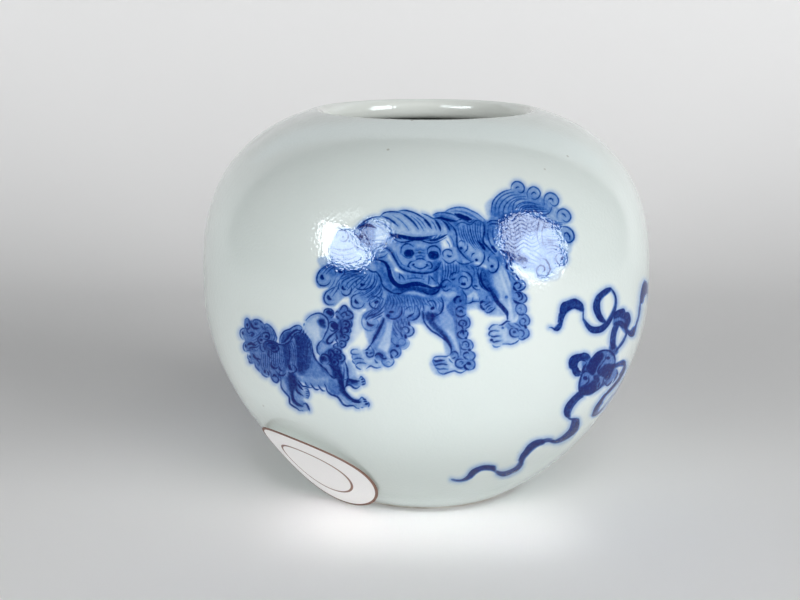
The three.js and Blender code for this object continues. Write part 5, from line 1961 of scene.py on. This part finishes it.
@dataclass(frozen=True)
class Painting:
    """The cobalt painting: fine sheets of the glaze's surface that know how much cobalt they cover.
    No two of them overlap."""

    form: PotForm
    view: PhotoView
    spacing: float = 0.093 * MM
    faintest: float = 0.006  # the least cobalt that still shows
    turns: tuple[tuple[str, float], ...] = (("front", 0.0), ("back", np.pi))
    patches: tuple[Patch, ...] = (
        Patch("large_lion_head", (LargeLion(), SmallLion()), (-28.0, 6.0), (33.0, 66.5)),
        Patch("large_lion_rump", (LargeLion(),), (6.0, 40.0), (48.0, 66.5)),
        Patch("large_lion_belly", (LargeLion(),), (6.0, 26.0), (33.0, 48.0)),
        Patch("small_lion_tail", (SmallLion(),), (-51.0, -28.0), (23.0, 47.5)),
        Patch("small_lion_paws", (SmallLion(),), (-28.0, -10.5), (23.0, 33.0)),
        Patch("brocade_ball", (LargeLion(), BrocadeBall(), TrailingRibbon()), (26.0, 82.0), (18.5, 48.0),
              lift=5.0),
        Patch("trailing_ribbon", (TrailingRibbon(),), (6.0, 50.0), (9.0, 18.5)),
    )

    def build(self, glaze: bpy.types.Material) -> None:
        """Paints the front as in the picture, and the same figures again round the back.

        Args:
            glaze: the glaze's finish.
        """
        for patch in self.patches:
            self.paint(patch, glaze)

    def paint(self, patch: Patch, glaze: bpy.types.Material) -> None:
        """Makes one patch, twice: the surface's grid, x = r sin a, y = -r cos a, with r and z along
        the profile, less the faces that no cobalt reaches.

        Args:
            patch: the stretch to paint.
            glaze: the glaze's finish.
        """
        outside = self.form.outside()
        along = outside.lengths()
        low, high = np.interp(np.array(patch.height) * MM, outside.z, along)
        run = outside.evenly(int((high - low) / self.spacing), low, high)
        first, last = np.radians(patch.azimuth)
        angle = np.linspace(first, last, int((last - first) * run.r.max() / self.spacing))
        sheet = Sheet(*self.view.pixels(around(run.r, run.z, angle)))
        for motif in patch.motifs:
            for mark in motif.marks():
                mark.draw(sheet)
        lifted = smooth_share((last - angle) / np.radians(patch.lift)) if patch.lift else 1.0
        cobalt = (sheet.density().reshape(len(run.r), -1) * lifted).ravel()
        faces = grid_faces(np.arange(cobalt.size).reshape(len(run.r), len(angle)))
        painted = faces[cobalt[faces].max(-1) > self.faintest]
        u, v = np.meshgrid(np.linspace(0, 1, len(angle)), np.linspace(0, 1, len(run.r)))
        chart = np.stack([u, v], -1).reshape(-1, 2)
        for side, turn in self.turns:
            places = around(run.r, run.z, angle + turn).reshape(-1, 3)
            name = f"{patch.name}_{side}"
            finish_piece(mesh_piece(name, places, painted, glaze, {COBALT: cobalt}, chart), Slot.GLAZE)


@dataclass(frozen=True)
class ClayBody:
    """The fired clay: two thrown sections and the slip that joins them."""

    form: PotForm
    steps: int = 256
    run_steps: int = 70
    lip_steps: int = 30  # more along the upper inside, for the lip and the throat

    def build(self, clay: bpy.types.Material) -> None:
        """Makes the three clay pieces.

        Args:
            clay: the bare porcelain.
        """
        form = self.form
        lower_out = form.lower_outside().evenly(self.run_steps).at_depth(form.glaze)
        lower_in = form.lower_inside().evenly(self.run_steps).at_depth(form.glaze)
        foot_outer = form.glaze_line_radius - form.foot_inset
        foot_inner = foot_outer - form.foot_width
        ring = np.array([[foot_inner, 0], [foot_outer, 0]])
        outline = np.concatenate([form.recess(form.glaze), ring, lower_out, lower_in])
        lower = turned_solid("thrown_lower_section", outline, self.steps, clay)
        finish_piece(lower, Slot.PORCELAIN, "lower_section")
        upper_out = form.upper_outside().evenly(self.run_steps).at_depth(form.glaze)
        upper_in = form.upper_inside().evenly(self.run_steps + self.lip_steps).at_depth(form.glaze)
        outline = np.concatenate([upper_out, upper_in[1:]])
        upper = turned_solid("thrown_upper_section", outline, self.steps, clay)
        finish_piece(upper, Slot.PORCELAIN, "upper_section")
        outer = form.belly_radius - form.glaze
        inner = form.belly_radius - form.wall + form.glaze
        outline = np.array([[inner, form.lower_middle], [outer, form.lower_middle],
                            [outer, form.upper_middle], [inner, form.upper_middle]])
        slip = turned_solid("slip_joint", outline, self.steps, clay)
        finish_piece(slip, Slot.PORCELAIN, "luting_slip")


@dataclass(frozen=True)
class GlazeCoats:
    """The three coats of clear glaze: outside, inside and under the foot."""

    form: PotForm
    skin_depth: float
    lip_fade: float = 0.6 * MM
    steps: int = 384
    run_steps: int = 190
    clay_stride: int = 4  # surface stations for each station of the hidden side

    def coat(self, name: str, run: Run, glaze: bpy.types.Material, outside: bool) -> bpy.types.Object:
        """One coat: out along the finished surface and back along the clay.

        Args:
            name: the piece's name.
            run: the finished surface.
            glaze: the glaze's finish.
            outside: whether it is the outside coat, which lies a hair under the painting.

        Returns:
            The closed coat.
        """
        ease = np.clip((run.z.max() - run.z) / self.lip_fade, 0, 1) if outside else 0 * run.z
        skin = run.at_depth(self.skin_depth * ease)
        under = run.at_depth(self.form.glaze)[::-self.clay_stride]
        outline = np.concatenate([skin, under] if outside else [under, skin])
        return turned_solid(name, outline, self.steps, glaze)

    def build(self, glaze: bpy.types.Material, shaded: bpy.types.Material) -> None:
        """Makes the coats.

        Args:
            glaze: the glaze's finish.
            shaded: the same with painted shade below the lip, for the inside.
        """
        form = self.form
        outside = self.coat("outside_glaze", form.outside().evenly(self.run_steps), glaze, True)
        finish_piece(outside, Slot.GLAZE, "outer_glaze")
        inside_run = form.upper_inside().then(form.lower_inside()).evenly(self.run_steps)
        inside = self.coat("inside_glaze", inside_run, shaded, False)
        finish_piece(inside, Slot.GLAZE, "inner_glaze")
        outline = np.concatenate([form.recess(0.0), form.recess(form.glaze)[::-1]])
        base = turned_solid("foot_recess_glaze", outline, self.steps, glaze)
        finish_piece(base, Slot.GLAZE, "base_glaze")


@dataclass(frozen=True)
class Label:
    """The round paper label, bent round a line of its own so that its edges lift off the pot."""

    form: PotForm
    radius: float = 12.5 * MM
    thickness: float = 0.15 * MM
    gap: float = 0.3 * MM
    bend_radius: float = 41.5 * MM
    bend_tilt: float = np.radians(-7)
    turn: float = np.radians(-39.3)
    height: float = 9.9 * MM
    rings: int = 60
    steps: int = 192

    def place(self, sheet: np.ndarray) -> np.ndarray:
        """Takes points from the label's own axes to its seat low on the pot.

        Args:
            sheet: points with x round the bend, y along its axis and z out from the pot.

        Returns:
            The same points in the pot's frame.
        """
        form = self.form
        radius, power, height = form.belly_radius, form.lower_power, form.lower_height()
        drop = form.lower_middle - self.height
        seat_r = radius * (1 - (drop / height) ** power) ** (1 / power)
        normal_r = (seat_r / radius) ** (power - 1) / radius
        normal_down = (drop / height) ** (power - 1) / height
        lean = np.pi / 2 + np.arctan2(normal_down, normal_r)
        seat = Matrix.Rotation(self.turn, 4, "Z") @ Matrix.Translation((0, -seat_r, self.height))
        whole = seat @ Matrix.Rotation(lean, 4, "X") @ Matrix.Rotation(self.bend_tilt, 4, "Z")
        table = np.array(whole)
        return sheet @ table[:3, :3].T + table[:3, 3]

    def build(self) -> None:
        """Makes the label: a disc rolled onto a cylinder of the bend's radius, given its thickness,
        with its distance from the middle kept for the printed rings."""
        share = np.concatenate([np.linspace(0, 1, self.rings + 1), np.linspace(1, 0, self.rings + 1)])
        side = np.repeat([self.gap + self.thickness, self.gap], self.rings + 1)
        angle = np.arange(self.steps) * FULL_TURN / self.steps
        reach = (share * self.radius)[:, None] + 0 * angle
        bend = reach * np.cos(angle) / self.bend_radius
        out = (self.bend_radius + side)[:, None]
        sheet = np.stack([out * np.sin(bend), reach * np.sin(angle),
                          out * np.cos(bend) - self.bend_radius], -1)
        numbers = np.arange(reach.size).reshape(reach.shape)
        numbers[[0, -1]] = numbers[[0, -1], :1]
        numbers = np.concatenate([numbers, numbers[:, :1]], 1)
        points = self.place(sheet.reshape(-1, 3))
        paper = PaperFinish(self.radius).make()
        label = mesh_piece("paper_label", points, grid_faces(numbers.T[::-1].T), paper,
                           {REACH: reach})
        label.visible_shadow = False  # a label so thin and close hardly shades the glaze beside it
        finish_piece(label, Slot.PAPER, "inventory_label")


class Spread(Enum):
    """How far a light fans out."""

    WIDE = np.pi
    BROAD = np.radians(20)
    NARROW = np.radians(5)


def hide_from_view(thing: bpy.types.Object, lights: bool) -> None:
    """Keeps a light out of the picture itself.

    Args:
        thing: the light or the bright pane.
        lights: True if it lights matt surfaces, and False if it only shows in glossy ones.
    """
    thing.visible_camera = False
    thing.visible_diffuse, thing.visible_glossy = lights, not lights
    thing.visible_shadow = False


@dataclass(frozen=True)
class Window:
    """One soft light, placed by the direction in which the pot mirrors it."""

    name: str
    azimuth: float  # degrees round from the front, towards +X
    elevation: float  # degrees above the horizon
    width: float
    height: float
    power: float
    distance: float = 1.6
    aim: tuple[float, float, float] = (0.0, 0.0, 0.05)
    spread: Spread = Spread.WIDE
    paper_only: bool = False

    def build(self, paper: bpy.types.Object) -> None:
        """Hangs the light so that it faces the pot.

        Args:
            paper: the paper sheet, for a light that is meant for it alone.
        """
        data = bpy.data.lights.new(self.name, "AREA")
        data.shape = "RECTANGLE"
        data.size, data.size_y = self.width, self.height
        data.energy = self.power
        data.spread = self.spread.value
        light = bpy.data.objects.new(self.name, data)
        bpy.context.collection.objects.link(light)
        azimuth, elevation = np.radians(self.azimuth), np.radians(self.elevation)
        away = Vector((np.sin(azimuth) * np.cos(elevation), -np.cos(azimuth) * np.cos(elevation),
                       np.sin(elevation)))
        light.location = Vector(self.aim) + away * self.distance
        light.rotation_mode = "QUATERNION"
        light.rotation_quaternion = away.to_track_quat("Z", "Y")
        hide_from_view(light, lights=True)
        if self.paper_only:
            lit = bpy.data.collections.new(self.name + "_falls_on")
            lit.objects.link(paper)
            light.light_linking.receiver_collection = lit


@dataclass(frozen=True)
class Pane:
    """A bright window pane that only the glaze mirrors. Its outline is given by where its image lies
    on the pot in the picture, and is traced back from there."""

    name: str
    glow: float
    outline: tuple[float, ...]  # pixels: x, y, x, y and so on
    distance: float = 1.6
    colour: Colour = (0.91, 1.0, 1.05)
    search_rows: int = 900
    search_columns: int = 1601

    def build(self, form: PotForm, view: PhotoView) -> None:
        """Makes the pane: each corner lies along m = v - 2 (v . n) n from the pot's surface, where v
        is the line of sight and n the normal at the place whose image is nearest to the pixel.

        Args:
            form: the pot's profile.
            view: the picture's camera.
        """
        run = form.outside().evenly(self.search_rows)
        angle = np.linspace(-np.pi / 2, np.pi / 2, self.search_columns)
        places = around(run.r, run.z, angle)
        normals = around(run.normal_r, run.normal_z, angle)
        column, row = view.pixels(places)
        corners = []
        for x, y in zip(self.outline[::2], self.outline[1::2]):
            nearest = np.unravel_index(np.argmin((column - x) ** 2 + (row - y) ** 2), row.shape)
            sight = places[nearest] - view.place()
            sight /= np.linalg.norm(sight)
            normal = normals[nearest]
            corners.append(places[nearest] + self.distance * (sight - 2 * (sight @ normal) * normal))
        corners = np.array(corners)
        shader = Shader(self.name)
        glowing = shader.surface(Base_Color=(0, 0, 0, 1), Roughness=1.0, Specular_IOR_Level=0.0,
                                 Emission_Color=(*self.colour, 1), Emission_Strength=self.glow)
        pane = mesh_piece(self.name, np.vstack([corners, corners.mean(0)]), self.faces(len(corners)),
                          glowing)
        hide_from_view(pane, lights=False)

    def faces(self, count: int) -> np.ndarray:
        """The pane's faces, a fan round its middle.

        Args:
            count: how many corners the outline has; the middle is the vertex after them.

        Returns:
            The corners' numbers, four to a face; a triangle repeats its last one.
        """
        ring = np.arange(count)
        return np.stack([ring, (ring + 1) % count, 0 * ring + count, 0 * ring + count], -1)


@dataclass(frozen=True)
class Band(Pane):
    """A long bright band: its outline runs along one edge and back along the other."""

    def faces(self, count: int) -> np.ndarray:
        """The band's faces, a ladder from one edge to the other.

        Args:
            count: how many corners the outline has, an even number.

        Returns:
            The corners' numbers, four to a face.
        """
        rung = np.arange(count // 2 - 1)
        return np.stack([rung, rung + 1, count - 2 - rung, count - 1 - rung], -1)


@dataclass(frozen=True)
class Sweep:
    """The white paper sheet: flat under the pot, bent up behind it and leaning back at the top."""

    left: float = -0.58
    right: float = 0.46
    front: float = -0.36
    bend_start: float = 0.14
    bend: float = 0.15
    lean: float = 0.43
    top: float = 1.15
    taper: float = 0.25  # how far the left edge comes in for each metre of height
    columns: int = 9
    bend_rows: int = 33
    rise_rows: int = 21

    def build(self, paper: bpy.types.Material) -> bpy.types.Object:
        """Makes the sheet: flat to the bend, a quarter of a circle, then y = y0 + lean (z - bend)^2.

        Args:
            paper: its finish.

        Returns:
            The sheet.
        """
        turn = np.linspace(0, np.pi / 2, self.bend_rows)
        rise = np.linspace(self.bend, self.top, self.rise_rows)[1:]
        y = np.concatenate([[self.front, 0], self.bend_start + self.bend * np.sin(turn),
                            self.bend_start + self.bend + self.lean * (rise - self.bend) ** 2])
        z = np.concatenate([[0, 0], self.bend * (1 - np.cos(turn)), rise])
        left = (self.left + self.taper * np.maximum(z - self.bend, 0))[:, None]
        x = left + (self.right - left) * np.linspace(0, 1, self.columns)
        points = np.stack([x, y[:, None] + 0 * x, z[:, None] + 0 * x], -1)
        numbers = np.arange(x.size).reshape(x.shape)
        sheet = mesh_piece("paper_sweep", points.reshape(-1, 3), grid_faces(numbers), paper)
        return sheet


@dataclass(frozen=True)
class Studio:
    """The white paper sweep on a dark floor, soft light, and what the glaze mirrors."""

    windows: tuple[Window, ...] = (
        Window("left_window", -48, 3.0, 0.80, 0.84, 17.8),
        Window("front_window", 18, 44.0, 0.90, 0.60, 5.2),
        Window("right_window", 54, 13.0, 0.92, 0.92, 18.0),
        Window("floor_light", 0, 60.0, 0.30, 0.10, 0.09, 1.0, (0.0, -0.19, 0.0), Spread.BROAD, True),
        Window("side_light", -60, 35.0, 0.05, 0.05, 0.0008, 1.0, (-0.038, 0.0, 0.0), Spread.NARROW, True),
        Window("foot_light", 0, 45.0, 0.05, 0.006, 0.0010, 0.3, (0.002, -0.029, 0.0), Spread.NARROW, True),
    )
    panes: tuple[Pane, ...] = (
        Pane("left_pane", 11.0, (323, 220, 333, 222, 341, 226, 354, 231, 360, 244, 367, 250, 374, 255,
                                368, 264, 357, 266, 345, 266, 334, 263, 324, 254, 317, 238)),
        Pane("left_dim_pane", 6.0, (359, 229, 366, 224, 375, 219, 384, 220, 390, 227, 393, 237, 388, 246,
                                    380, 250, 374, 250, 366, 245, 361, 238)),
        Pane("left_streak", 3.2, (330, 219, 338, 215, 348, 212.5, 358, 211, 366, 211.5, 360, 215,
                                  350, 217, 341, 219, 334, 222)),
        Pane("right_pane", 9.0, (509, 217, 518, 214, 528, 213, 540, 217, 550, 222, 557, 228, 561, 236,
                                 564, 247, 564, 258, 562, 268, 553, 276, 543, 280, 530, 280.5, 520, 276,
                                 513, 266, 510, 256, 504, 250, 500, 240, 501, 229, 505, 221)),
        Band("paper_edge", 1.0, (252, 166, 262, 160, 280, 152, 300, 146, 325, 141, 350, 138.5, 390, 138,
                                  430, 139, 465, 140.5, 500, 143.5, 530, 148, 560, 155, 585, 164, 600, 173,
                                  604, 166, 590, 150, 560, 135, 530, 127, 500, 124, 465, 122, 430, 121,
                                  390, 121, 350, 123, 325, 125, 300, 130, 280, 138, 262, 152, 252, 162),
             distance=0.25),
    )
    floor_reach: float = 2.6
    floor_depth: float = 1 * MM
    floor_steps: int = 64
    sky: float = 0.012
    paper_grey: float = 0.83
    floor_grey: float = 0.05

    def build(self, form: PotForm, view: PhotoView) -> None:
        """Makes the sheet, the floor, the windows, their panes and the room's even light.

        Args:
            form: the pot's profile.
            view: the picture's camera.
        """
        sheet = Sweep().build(TableFinish("white_paper", self.paper_grey).make())
        self.build_floor(TableFinish("dark_floor", self.floor_grey).make())
        for window in self.windows:
            window.build(sheet)
        for pane in self.panes:
            pane.build(form, view)
        self.build_sky()

    def build_floor(self, dark: bpy.types.Material) -> None:
        """Makes the dark floor that the paper lies on: a disc just under the sheet.

        Args:
            dark: the floor's finish.
        """
        turn = np.arange(self.floor_steps) * FULL_TURN / self.floor_steps
        points = around(np.array([0, self.floor_reach]), np.full(2, -self.floor_depth), turn)
        numbers = np.arange(2 * self.floor_steps).reshape(2, self.floor_steps)
        numbers[0] = 0
        numbers = np.concatenate([numbers, numbers[:, :1]], 1)
        mesh_piece("room_floor", points.reshape(-1, 3), grid_faces(numbers), dark)

    def build_sky(self) -> None:
        """Gives the room its even light."""
        world = bpy.data.worlds.new("room")
        world.use_nodes = True
        background = world.node_tree.nodes["Background"]
        background.inputs["Color"].default_value = (*grey(1), 1)
        background.inputs["Strength"].default_value = self.sky
        bpy.context.scene.world = world
        bpy.context.scene.view_settings.view_transform = "Standard"


def main() -> None:
    """Builds the pot piece by piece and sets it in its studio."""
    logging.basicConfig(level=logging.INFO, format="%(name)s %(message)s")
    form = PotForm.from_frame()
    view = PhotoView()
    view.make_camera()
    glaze = GlazeFinish().make()
    ClayBody(form).build(ClayFinish().make())
    # the inside: whiter glaze with painted shade that deepens below the lip
    inside = GlazeFinish("inside_glaze", pale=(0.91, 0.95, 0.91), green=(0.88, 0.93, 0.88), shaded=True)
    GlazeCoats(form, skin_depth=0.02 * MM).build(glaze, inside.make())
    Painting(form, view).build(glaze)
    Label(form).build()
    Studio().build(form, view)


if __name__ == "__main__":
    main()
